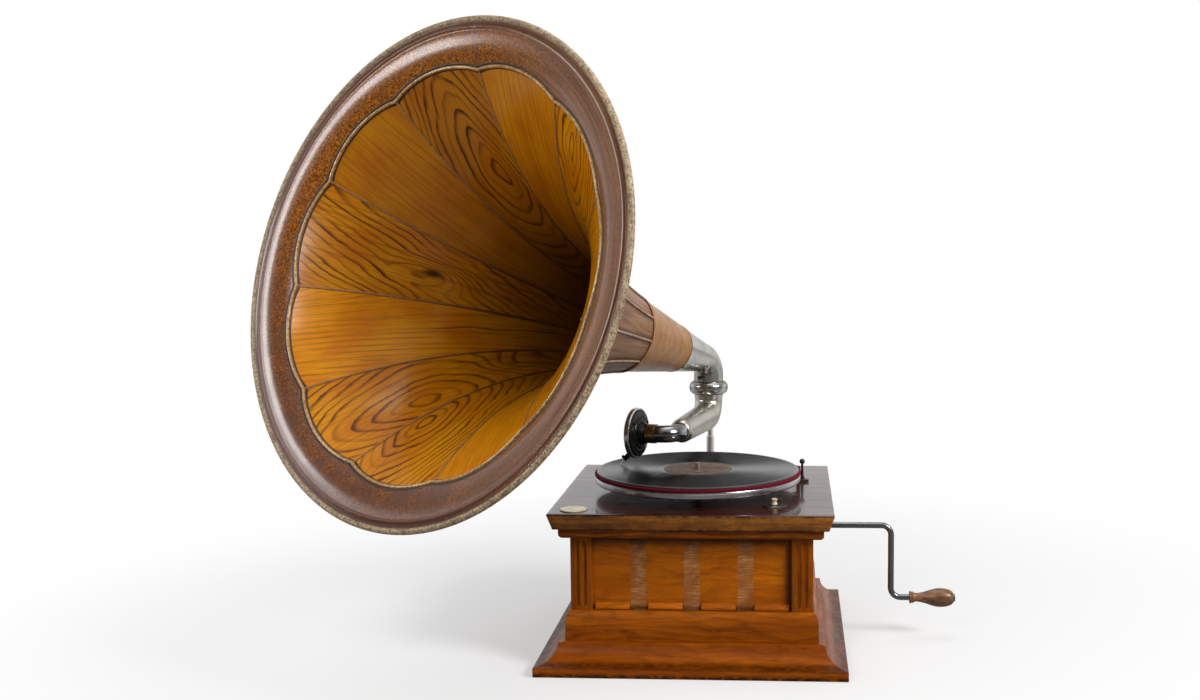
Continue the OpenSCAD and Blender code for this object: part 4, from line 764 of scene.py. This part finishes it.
veneer.lay(tint(52, 30, 18), scored.fall(0.0, 0.012) * cloudy.ramp(0.44, 0.56) * 0.8)
veneer.lay(tint(44, 28, 20), sleeve_along.fall(84.6, 86.2) * 0.85)
# painted shade: the inner face of the cone is darkened
veneer.lay(tint(34, 18, 8), (sleeve_reach - sleeve_along * SLEEVE_TAPER).fall(14.8, 15.8, 0.9))
veneer.gloss(cloudy, 0.34, 0.52)


def spun_place(bm):
    """Notes each vertex's way round the horn, its distance along it and its radius, in mm."""
    layer = notes(bm, "spun")
    for v in bm.verts:
        reach = sqrt(v.co.x ** 2 + v.co.y ** 2)
        v[layer] = Vector((abs(atan2(v.co.y, v.co.x)) * SPUN_R, v.co.z, reach))


def hang(bm, name, finishes, stands_for, sharp):
    """Puts a piece that was made in the horn's own frame in its place, and settles it on the horn."""
    bmesh.ops.recalc_face_normals(bm, faces=bm.faces)
    bmesh.ops.transform(bm, matrix=HORN, verts=bm.verts)
    settle(bm, name, "horn", finishes, stands_for, sharp)


sleeve = bmesh.new()
turned(sleeve, [(28.5, 83), (31.1, 83), (31.9, 83.5), (32.2, 84.4), (32.0, 85.4), (31.8, 86.2), (35.5, 106),
                (39.2, 127), (43.0, 148), (46.8, 170), (51.5, 197.1), (48.7, 197.6), (44.7, 175), (39.7, 146.7),
                (34.2, 115.5), (28.5, 83)], 96)
spun_place(sleeve)
hang(sleeve, "veneer_sleeve", [veneer], ["horn_sleeve"], 40)

# Horn band
# A thin beaded hoop of turned wood with dark edges.
# It is glued over the joint of sleeve and panels.
hoop_wood = speckled("hoop_wood", ((0.05, 0.6, 1.0), 5, 0.6), 0.35, 0.7, tint(186, 134, 82), tint(140, 94, 54),
                     (0.32, 0.5), on="spun", varnish=(0.3, 0.25))
hoop_along = hoop_wood.attribute("spun").parts()[1]
hoop_edge = hoop_along.fall(188.4, 189.6).larger(hoop_along.ramp(195.4, 196.6))
hoop_wood.lay(tint(48, 30, 20), hoop_edge * 0.8)
hoop = bmesh.new()
turned(hoop, [(50.1, 188.5), (50.6, 188.5), (51.4, 188.8), (51.7, 189.6), (51.4, 190.4), (51.6, 191), (52.6, 192.4),
              (52.7, 193.4), (52.3, 194.4), (52.4, 194.9), (53.0, 195.6), (52.8, 196.4), (52.0, 196.6),
              (51.6, 196.5), (50.1, 188.5)], 110)
spun_place(hoop)
hang(hoop, "beaded_hoop", [hoop_wood], ["horn_band"], 40)

# Horn panels
# Eleven tapered leaves of pine and oak, bent to the flare and glued edge to edge: plain leaves between leaves with
# strong figure. Inside they are french-polished amber, darkened towards the throat by grime and painted shade.
PANELS, SEAM = 11, radians(87)
STEP, SEAM_GAP = 2 * pi / PANELS, 0.0004
BAND_AT, SCALLOP_AT, SCALLOP_R = 197.7, 521.2, 227.5
FLARE, FLARE_BASE, FLARE_GROWN, GROWTH = SCALLOP_AT - BAND_AT, 12.4, 36.3, 0.0055
LIP_START, LIP_BEND = radians(49.79), 69.55
ARCH_R, ARCH_AT = 144.4, 88.9
WALL_T, RUN_END = 3.0, 418


def wall(q):
    """The inner wall q mm on from the band: distance along the horn, radius and slope."""
    if q <= FLARE:
        grown = FLARE_GROWN * exp(GROWTH * q)
        return BAND_AT + q, FLARE_BASE + grown, atan2(grown * GROWTH, 1)
    a = LIP_START + (q - FLARE) / LIP_BEND
    return (SCALLOP_AT + LIP_BEND * (sin(a) - sin(LIP_START)),
            SCALLOP_R + LIP_BEND * (cos(LIP_START) - cos(a)), a)


def off_wall(q, angle, out):
    """A point of the horn, out mm outwards of the inner wall, in the horn's own frame."""
    s, r, slope = wall(q)
    reach = r + out * cos(slope)
    return Vector((reach * cos(angle), reach * sin(angle), s - out * sin(slope)))


def scallop(turn):
    """How far on the wall the scalloped line lies, at an angle from the middle of its panel."""
    reach = ARCH_AT * cos(turn) + sqrt(ARCH_R ** 2 - (ARCH_AT * sin(turn)) ** 2)
    lift = max(reach - SCALLOP_R, 0) / LIP_BEND
    return FLARE + LIP_BEND * (acos(max(cos(LIP_START) - lift, -1)) - LIP_START)


spans = [0.0]
for i in range(RUN_END + 1):
    (s0, r0, _), (s1, r1, _) = wall(i), wall(i + 1)
    spans.append(spans[-1] + sqrt((s1 - s0) ** 2 + (r1 - r0) ** 2))


def run(q):
    """The length of wall from the band to q, measured over the curve."""
    i = min(int(q), RUN_END)
    return spans[i] + (spans[i + 1] - spans[i]) * (q - i)


# For each leaf from the top one anticlockwise: where its growth rings have their middle (along the leaf and aside
# of its centre line, in mm), their stretch, the gap of the rings, how dark they are, and how dark the ground is.
# KNOTS gives the leaves with a knot: its place along and aside, and the number of rings that run round it.
LEAVES = ((250, -4, 0.36, 8.0, 1.0, 0.75), (0, -260, 0.05, 9.0, 0.22, 0.6), (-257, -300, 0.4, 7.6, 0.95, 0.4),
          (0, 300, 0.04, 7.0, 0.28, 0.1), (262, 20, 0.4, 9.0, 0.9, 0.25), (285, -36, 0.5, 8.5, 0.95, 0.3),
          (0, 280, 0.05, 8.0, 0.25, 0.2), (-300, -300, 0.55, 10.0, 0.7, 0.25), (0, -300, 0.04, 7.0, 0.25, 0.15),
          (345, 22, 0.36, 8.5, 0.9, 0.3), (0, 260, 0.05, 8.0, 0.24, 0.45))
KNOTS = {2: (225, 2, 3.2), 4: (130, -4, 1.6), 7: (280, 8, 2.4), 9: (210, -6, 1.8)}
LEAF_APART, CRACKED_LEAF = 700, 3
ROWS, COLS = 72, 14

shell = bmesh.new()
leaf_notes, rings_notes = notes(shell, "leaf"), notes(shell, "rings")
tone_notes, knot_notes = notes(shell, "tone"), notes(shell, "knot")
for k, (middle, aside, stretch, gap, dark, ground) in enumerate(LEAVES):
    centre = SEAM + k * STEP + STEP / 2
    rims = []
    for back, out in enumerate((0.0, WALL_T)):
        before = set(shell.verts)
        bmesh.ops.create_grid(shell, x_segments=ROWS, y_segments=COLS, size=1)
        for v in since(shell, before):
            turn = v.co.y * (STEP / 2 - SEAM_GAP)
            q = (v.co.x + 1) / 2 * scallop(turn)
            radius = wall(q)[1]
            v[leaf_notes] = Vector((run(q), turn * radius, LEAF_APART * k))
            v[rings_notes] = Vector((middle, aside, stretch))
            v[tone_notes] = Vector(((STEP / 2 - abs(turn)) * radius, 0, 0) if back else (dark, ground, gap))
            v[knot_notes] = Vector(KNOTS.get(k, (0, 0, 0)))
            v.co = off_wall(q, centre + turn, out)
        faces = faces_of(since(shell, before))
        for f in faces:
            f.material_index = back
        rims += [e for f in faces for e in f.edges if len(e.link_faces) == 1]
    bmesh.ops.bridge_loops(shell, edges=rims)

polish = Finish("leaf_polish", tint(252, 168, 10), varnish=(0.5, 0.17), Specular_IOR_Level=0.07)
leaf = polish.attribute("leaf")
along, across, which = leaf.parts()
heart_along, heart_across, ring_stretch = polish.attribute("rings").parts()
ring_dark, ground_dark, ring_gap = polish.attribute("tone").parts()
knot_along, knot_across, knot_rings = polish.attribute("knot").parts()
sway = leaf.noise((0.006, 0.018, 0.01), 2, 0.5)
wobble = leaf.noise((0.025, 0.06, 0.01), 2, 0.5)
jag = leaf.noise((0.09, 0.16, 0.01), 2, 0.6)
swayed = sway * 34.0 + wobble * 5.0 + (jag - 0.5) * 2.6
along_rings = abs((along - heart_along) * ring_stretch)
across_rings = abs(across + (swayed - 19.0) - heart_across)
ring_reach = (along_rings ** 1.6 + across_rings ** 1.6) ** 0.625
to_knot = polish.add("CombineXYZ", {0: (along - knot_along) * 0.36, 1: across - knot_across}).far()
count = ring_reach / ring_gap + to_knot.fall(0.0, 24.0) * knot_rings
year = polish.add("TexWhiteNoise", {"W": count.maths("FLOOR")}, "Value", noise_dimensions="1D")
thin = leaf.noise((0.012, 0.05, 0.01), 2)
late = count.maths("FRACT").band(0.5, 0.86, 0.9, 1.0)
late *= year.ramp(0.0, 0.7, 0.45, 1.0) * thin.ramp(0.3, 0.58, 0.45, 1.0)
fibre = leaf.noise((0.02, 1.1, 0.01), 3, 0.6)
crack = abs(across + (swayed - 15.0)).fall(0.35, 1.3, 0.9) * along.fall(205, 240)
crack *= which.maths("COMPARE", LEAF_APART * CRACKED_LEAF, 1.0)
polish.lay(tint(232, 136, 3), leaf.noise((0.014, 0.02, 0.01)).ramp(0.32, 0.7))
polish.lay(tint(136, 70, 2), leaf.noise((0.003, 0.28, 0.01), 4, 0.65).ramp(0.46, 0.68) * 0.5)
polish.lay(tint(130, 68, 2), fibre.ramp(0.42, 0.72) * 0.3)
polish.lay(tint(118, 64, 1), ground_dark * 0.8)
polish.lay(tint(74, 35, 2), late * ring_dark)
polish.lay(tint(34, 16, 3), (to_knot.fall(1.0, 7.0, 0.3) * knot_rings).larger(crack))
# grime and painted shade: the leaves darken towards the throat, deep in the horn
polish.lay(tint(56, 27, 4), along.fall(10, 385, 0.94))
polish.gloss(fibre, 0.24, 0.36, 0.2, 0.8)
polish.relief(fibre - late * 0.6, 0.0002, 0.3)

back_wood = speckled("leaf_back", ((0.012, 0.2, 0.01), 5, 0.62, 0.5), 0.34, 0.7, tint(148, 105, 69),
                     tint(114, 77, 49), (0.42, 0.6), (0.0003, 0.5), on="leaf", varnish=(0.12, 0.35),
                     Specular_IOR_Level=0.35)
back_cloud = back_wood.attribute("leaf").noise((0.015, 0.03, 0.01), 4)
back_wood.lay(tint(98, 66, 44), back_cloud.ramp(0.45, 0.75) * 0.55)
back_wood.lay(tint(58, 36, 22), back_wood.attribute("tone").parts()[0].fall(2.0, 7.5, 0.8))
hang(shell, "figured_leaves", [polish, back_wood], ["horn_panels"], 45)

# Seam fillets
# Thin half-round fillets of pale wood glued over the joints between the leaves, inside the bell.
# They are darkened towards the throat by grime and painted shade, as the leaves are.
FILLET_STEPS, FILLET_R, FILLET_FLAT, FILLET_SUNK = 60, 1.5, 0.8, 0.1
fillet_wood = speckled("fillet_wood", (240, 4, 0.65), 0.38, 0.68, tint(170, 118, 58), tint(140, 94, 42),
                       (0.34, 0.5), varnish=(0.4, 0.25))
# grime and painted shade: darker towards the throat
fillet_wood.lay(tint(56, 28, 8), fillet_wood.attribute("tone").parts()[2].fall(120, 350, 0.95))


def line_on_wall(places, lift, closed=False):
    """A frame at each place (q, angle) of a line on the inner wall: Z along the line, Y outwards of the wall."""
    points = [off_wall(q, angle, lift) for q, angle in places]
    path = []
    for i, (q, angle) in enumerate(places):
        last = points[i - 1] if i else points[-2 if closed else 0]
        following = points[i + 1] if i + 1 < len(points) else points[1 if closed else -1]
        tangent = (following - last).normalized()
        sideways = (off_wall(q, angle, 1) - off_wall(q, angle, 0)).cross(tangent).normalized()
        facing = Matrix((sideways, tangent.cross(sideways), tangent)).transposed().to_4x4()
        path.append(Matrix.Translation(points[i]) @ facing)
    return path


def drawn(bm, path, radius, sides, flat=1.0):
    """Draws a round or flattened section along a path of frames, ring by ring."""
    before = set(bm.verts)
    section = bmesh.ops.create_circle(bm, cap_ends=False, radius=radius, segments=sides)["verts"]
    bmesh.ops.scale(bm, vec=(1, flat, 1), verts=section)
    bmesh.ops.transform(bm, matrix=path[0], verts=section)
    edges = list({e for v in section for e in v.link_edges})
    for last, here in zip(path, path[1:]):
        grown = bmesh.ops.extrude_edge_only(bm, edges=edges)["geom"]
        edges = [g for g in grown if isinstance(g, bmesh.types.BMEdge)]
        fresh = [g for g in grown if isinstance(g, bmesh.types.BMVert)]
        bmesh.ops.transform(bm, matrix=here @ last.inverted(), verts=fresh)
    return since(bm, before)


stations = [FLARE * i / FILLET_STEPS for i in range(FILLET_STEPS + 1)]
heights = [BAND_AT + q for q in stations]
fillets = bmesh.new()
fillet_notes = notes(fillets, "tone")
for k in range(PANELS):
    joint = [(q, SEAM + k * STEP) for q in stations]
    for v in drawn(fillets, line_on_wall(joint, -FILLET_SUNK), FILLET_R, 10, FILLET_FLAT):
        near = min(bisect.bisect(heights, v.co.z), FILLET_STEPS)
        v[fillet_notes] = Vector((0, 0, run(stations[near])))
hang(fillets, "seam_fillets", [fillet_wood], (), 60)

# Scalloped bead
# A gilded bead glued along the scalloped ends of the leaves, where they meet the rim.
# Dark glaze has been left in the hollows on both sides of it.
SPLIT = 24
gilt = speckled("gilt_bead", (330, 5, 0.68), 0.4, 0.68, tint(206, 164, 100), tint(128, 88, 42), (0.28, 0.5),
                (0.0001, 0.3), Metallic=0.25, varnish=(1.0, 0.12))
glaze = speckled("dark_glaze", (260, 4, 0.6), 0.35, 0.7, tint(44, 22, 10), tint(78, 42, 18), (0.35, 0.55),
                 varnish=(0.4, 0.25))


def round_mouth(i):
    """The angle of a step round the mouth, and how far on the wall the scalloped line lies there."""
    return SEAM + STEP * i / SPLIT, scallop(STEP * (i % SPLIT) / SPLIT - STEP / 2)


bead = bmesh.new()
for lift, shift, radius, flat, paint in ((-0.9, -0.6, 2.0, 1.0, 0), (-0.15, 2.3, 1.5, 0.35, 1),
                                         (-0.1, -3.0, 1.2, 0.35, 1)):
    places = [(edge + shift, angle) for angle, edge in map(round_mouth, range(PANELS * SPLIT + 1))]
    made = drawn(bead, line_on_wall(places, lift, closed=True), radius, 12, flat)
    for f in faces_of(made):
        f.material_index = paint
    bmesh.ops.remove_doubles(bead, verts=made, dist=0.001)
hang(bead, "scalloped_bead", [gilt, glaze], (), 60)

# Outer ribs
# Raised strips of wood glued over the joints outside the bell, from the hoop to the rim.
# They are paler than the leaves between them, with dirt along their edges.
RIB_BASE, RIB_RISE, RIB_T = 2.9, 1.7, 0.4
RIB_NARROW, RIB_SPREAD = 1.1, 0.35 * radians(0.83)
rib_wood = speckled("rib_wood", (130, 4, 0.65), 0.36, 0.7, tint(186, 144, 104), tint(140, 100, 66), (0.4, 0.58),
                    varnish=(0.15, 0.3))
rib_wood.lay(tint(46, 28, 18), abs(rib_wood.attribute("leaf").parts()[0]).ramp(0.62, 0.95) * 0.9)
ribs = bmesh.new()
rib_notes = notes(ribs, "leaf")
for k in range(PANELS):
    before = set(ribs.verts)
    bmesh.ops.create_grid(ribs, x_segments=48, y_segments=8, size=1)
    for v in since(ribs, before):
        q, w = 1 + (FLARE - 4) * (v.co.x + 1) / 2, v.co.y
        radius = wall(q)[1]
        half = RIB_NARROW + RIB_SPREAD * radius
        v[rib_notes] = Vector((w, q, 0))
        v.co = off_wall(q, SEAM + k * STEP + w * half / (radius + WALL_T), RIB_BASE + RIB_RISE * (1 - w ** 4))
bmesh.ops.recalc_face_normals(ribs, faces=ribs.faces)
bmesh.ops.solidify(ribs, geom=ribs.faces[:], thickness=RIB_T)
hang(ribs, "raised_ribs", [rib_wood], ["outer_ribs"], 60)

# Rim
# A broad turned-over border beyond the scallops, sponged with brown and orange lacquer under a thick gloss. Two fine
# ridges run round it near the edge, where the lacquer is tinted violet grey: partly dulled, partly a painted sheen.
# Painted shade, painted highlights and painted reflections are laid in the lacquer as well.
LIP_TURN = radians(44.83)
LIP = LIP_BEND * LIP_TURN
RIDGES = ((9.6, 1.3, 2.0), (6.7, 0.9, -0.7), (3.8, 1.2, 1.3))
MOUTH_SPLIT_R, RIM_GRAIN_R, NO_SEAM, ROW_EASE = 255, 200, 30, 0.72
lacquer = speckled("sponged_lacquer", (420, 4, 0.72), 0.4, 0.66, tint(90, 46, 8), tint(208, 124, 24),
                   relief=(0.00012, 0.3), varnish=(0.8, 0.16), Specular_IOR_Level=0.2)
from_edge, rim_angle, _ = lacquer.attribute("rim").parts()
patchy = lacquer.place.noise(34, 4, 0.6)


def rim_side(degrees, low, high, full=1.0):
    """How far a place lies towards one side of the rim."""
    return (rim_angle - radians(degrees)).maths("COSINE").ramp(low, high, 0.0, full)


painted_reflection_streaks = lacquer.attribute("rim").noise((0.24, 1.6, 0), 4, 0.62).ramp(0.36, 0.62)
lacquer.lay(tint(134, 76, 18), patchy.ramp(0.4, 0.7) * 0.5)
# dulled lacquer and painted sheen: violet grey near the edge
lacquer.lay(tint(102, 74, 66), (from_edge + patchy * 8.0).ramp(24.0, 6.0) * 0.75)
# painted shade in the groove between the ridges
lacquer.lay(tint(36, 22, 18), abs(from_edge - 6.4).fall(0.3, 1.1) * 0.7)
# painted shade: the lower side of the rim is darker
lacquer.lay(tint(88, 56, 46), rim_side(255, -0.2, 0.9) * patchy.ramp(0.25, 0.65, 0.45, 0.75))
# painted highlight: a pale violet sheen on the outer part of the left side
lacquer.lay(tint(150, 122, 118), rim_side(190, 0.2, 0.9, 0.5) * (from_edge + patchy * 10.0).ramp(38.0, 14.0))
# painted reflections: streaks along the rim on its right side
lacquer.lay(lacquer.over(tint(92, 48, 18), tint(140, 92, 56), painted_reflection_streaks), rim_side(5, 0.15, 0.8) * 0.78)
# painted highlight on the crest of the inner ridge, on the right side
lacquer.lay(tint(214, 196, 178), abs(from_edge - 9.9).fall(0.3, 1.5) * rim_side(20, 0.45, 0.85) * 0.75)
lacquer.gloss(patchy, 0.26, 0.4)
rim = bmesh.new()
rim_notes, rim_leaf, rim_tone = notes(rim, "rim"), notes(rim, "leaf"), notes(rim, "tone")
for back, out in enumerate((0.0, WALL_T)):
    before = set(rim.verts)
    bmesh.ops.create_grid(rim, x_segments=72, y_segments=PANELS * SPLIT, size=1)
    for v in since(rim, before):
        angle, edge = round_mouth(round((v.co.y + 1) / 2 * PANELS * SPLIT))
        q = edge + (FLARE + LIP - edge) * ((v.co.x + 1) / 2) ** ROW_EASE
        inside = FLARE + LIP - q
        ridge = sum(tall * exp(-((inside - at) / wide) ** 2) for at, wide, tall in RIDGES)
        v[rim_notes] = Vector((inside, angle, 0))
        v[rim_leaf] = Vector((run(min(q, RUN_END)), RIM_GRAIN_R * angle, 0))
        v[rim_tone] = Vector((NO_SEAM, 0, 0))
        v.co = off_wall(q, angle, out if back else -ridge)
    for f in faces_of(since(rim, before)):
        f.material_index = back
bmesh.ops.remove_doubles(rim, verts=rim.verts, dist=0.001)
open_edges = [e for e in rim.edges if len(e.link_faces) == 1]
for inner in (True, False):
    loop = [e for e in open_edges if e.is_valid and (e.verts[0].co.xy.length < MOUTH_SPLIT_R) == inner]
    bmesh.ops.bridge_loops(rim, edges=loop)
hang(rim, "lacquered_rim", [lacquer, back_wood], ["horn_rim"], 60)

# Rolled edge
# The rim's outer edge is rolled over a cane.
# It is painted cream, speckled brown and rubbed bare in places.
CANE_R, CANE_AT, CANE_OUT = 3.5, 537.4, 278.05
cream = speckled("speckled_cream", (420, 4, 0.72), 0.42, 0.62, tint(192, 168, 132), tint(112, 84, 58), (0.4, 0.6),
                 (0.0003, 0.6), varnish=(0.25, 0.3))
cream.lay(tint(92, 64, 40), cream.place.noise(70, 4, 0.6).ramp(0.48, 0.7) * 0.6)
lathe("rolled_cane", "horn", cream, ["rim_roll"], arc(CANE_OUT, CANE_AT, CANE_R, CANE_R, 0, 360, 20),
      264, HORN, 60)

# Tone arm
# A tapered drawn tube, nickelled, that hangs in the swivel and bends forward over the record.
# A short turned taper closes its end round the gooseneck.
ARM = Matrix.Translation((SWIVEL_X, SWIVEL_Y, 252)) @ Matrix.Rotation(radians(-10.5), 4, "Z")
ARM_END = ARM @ Matrix.Rotation(pi / 2, 4, "X") @ Matrix.Translation((0, 0, 143))
arm_nickel = nickel("arm_nickel", (0.66, 0.63, 0.56, 1), 0.27, 0.1, 0.25, 0.6)
buffed("tone_arm", "arm_tube", "tone_arm", arm_nickel)
lathe("arm_nose", "tone_arm", arm_nickel, (),
      [(11.3, 0.05), (15.45, 0.05), (15.5, 0.6), (15.4, 2.4), (15.1, 4.4), (14.5, 6.4), (13.7, 8.2), (12.8, 9.8),
       (12.0, 10.8), (11.6, 11.0), (11.3, 10.7), (11.3, 0.05)], 64, ARM_END, 40)

# Gooseneck
# A slim tube bent sideways that lifts and turns in the arm's end, plated darker than the arm.
# A brass collar at its other end holds the sound box.
neck_nickel = nickel("neck_nickel", (0.33, 0.34, 0.365, 1), 0.14, 0.08, 0.2)
buffed("gooseneck", "neck_tube", "sound_box", neck_nickel)
buffed("neck_collar", "brass_collar", "sound_box", brass)

# Sound box
# A stepped back of black japanned metal with a rubber boss, held by three small screws.
# It is screwed into a bright ring over a disc of mica.
BOX = (ARM @ Matrix.Translation((0, -180.1, 0)) @ Matrix.Rotation(radians(-97.1), 4, "Z")
       @ Matrix.Rotation(pi / 2, 4, "X") @ Matrix.Translation((0, 0, 51.9)))
SCREW_AT = 25.4
japan = speckled("black_japan", (210, 5, 0.65), 0.42, 0.72, tint(7, 6, 6), tint(16, 13, 12), (0.26, 0.46),
                 (0.0001, 0.4), varnish=(0.1, 0.2), Specular_IOR_Level=0.2)
mica = speckled("mica", (55, 5, 0.62, 1.2), 0.36, 0.7, tint(176, 164, 140), tint(128, 112, 88),
                relief=(0.0001, 0.3), Roughness=0.18, Specular_IOR_Level=0.6, Transmission_Weight=0.15,
                varnish=(0.4, 0.1))
box_back = bmesh.new()
turned(box_back, [(8, -8), (13, -8), (18.2, -8), (18.8, -7.7), (19.2, -6.9), (20.0, -6.2), (20.8, -6.1), (21.4, -6.4),
                  (22.2, -6.4), (22.9, -5.9), (27.2, -5.2), (28.6, -5.0), (29.5, -4.6), (29.9, -4.0), (29.9, 0),
                  (28, 0), (28, -3), (8, -3), (8, -8)], 96, BOX)
for i in range(3):
    screw = BOX @ Matrix.Rotation(radians(35 + 120 * i), 4, "Z") @ Matrix.Translation((SCREW_AT, 0, 0))
    turned(box_back, [(0, -6.6), (1.1, -6.6), (1.6, -6.2), (1.7, -5.6), (1.7, -4.6)], 20, screw)
settle(box_back, "stepped_back", "sound_box", [japan], ["box_back"])
lathe("rubber_boss", "sound_box", japan, ["box_boss"],
      [(8, -16), (12.0, -16), (12.3, -15.6), (12.3, -14.4), (12.0, -13.6), (12.6, -12.8), (13.6, -11.2), (14.6, -9.6),
       (15.2, -8.3), (15.0, -8.0), (8, -8.0), (8, -16)], 64, BOX)
lathe("bright_ring", "sound_box", nickel_bright, ["box_ring"],
      [(30, -3), (30.8, -3), (31.6, -2.7), (32, -2.0), (31.7, -1.3), (31.7, -0.2), (32, 0.5), (32, 2.6), (31.6, 3.5),
       (30.8, 4), (27.4, 4), (26.4, 3.6), (26, 2.8), (26, 0.7), (30, 0.7), (30, -3)], 96, BOX)
dress(mica, "diaphragm")

# Needle bar
# A dark steel bar that pivots on the ring, its foot waxed to the mica.
# It grips the needle with a small thumb screw.
buffed("needle_bar", "stylus_bar", "sound_box", iron)
buffed("needle_screws", "stylus_screws", "sound_box", iron)
dress(nickel_bright, "needle")
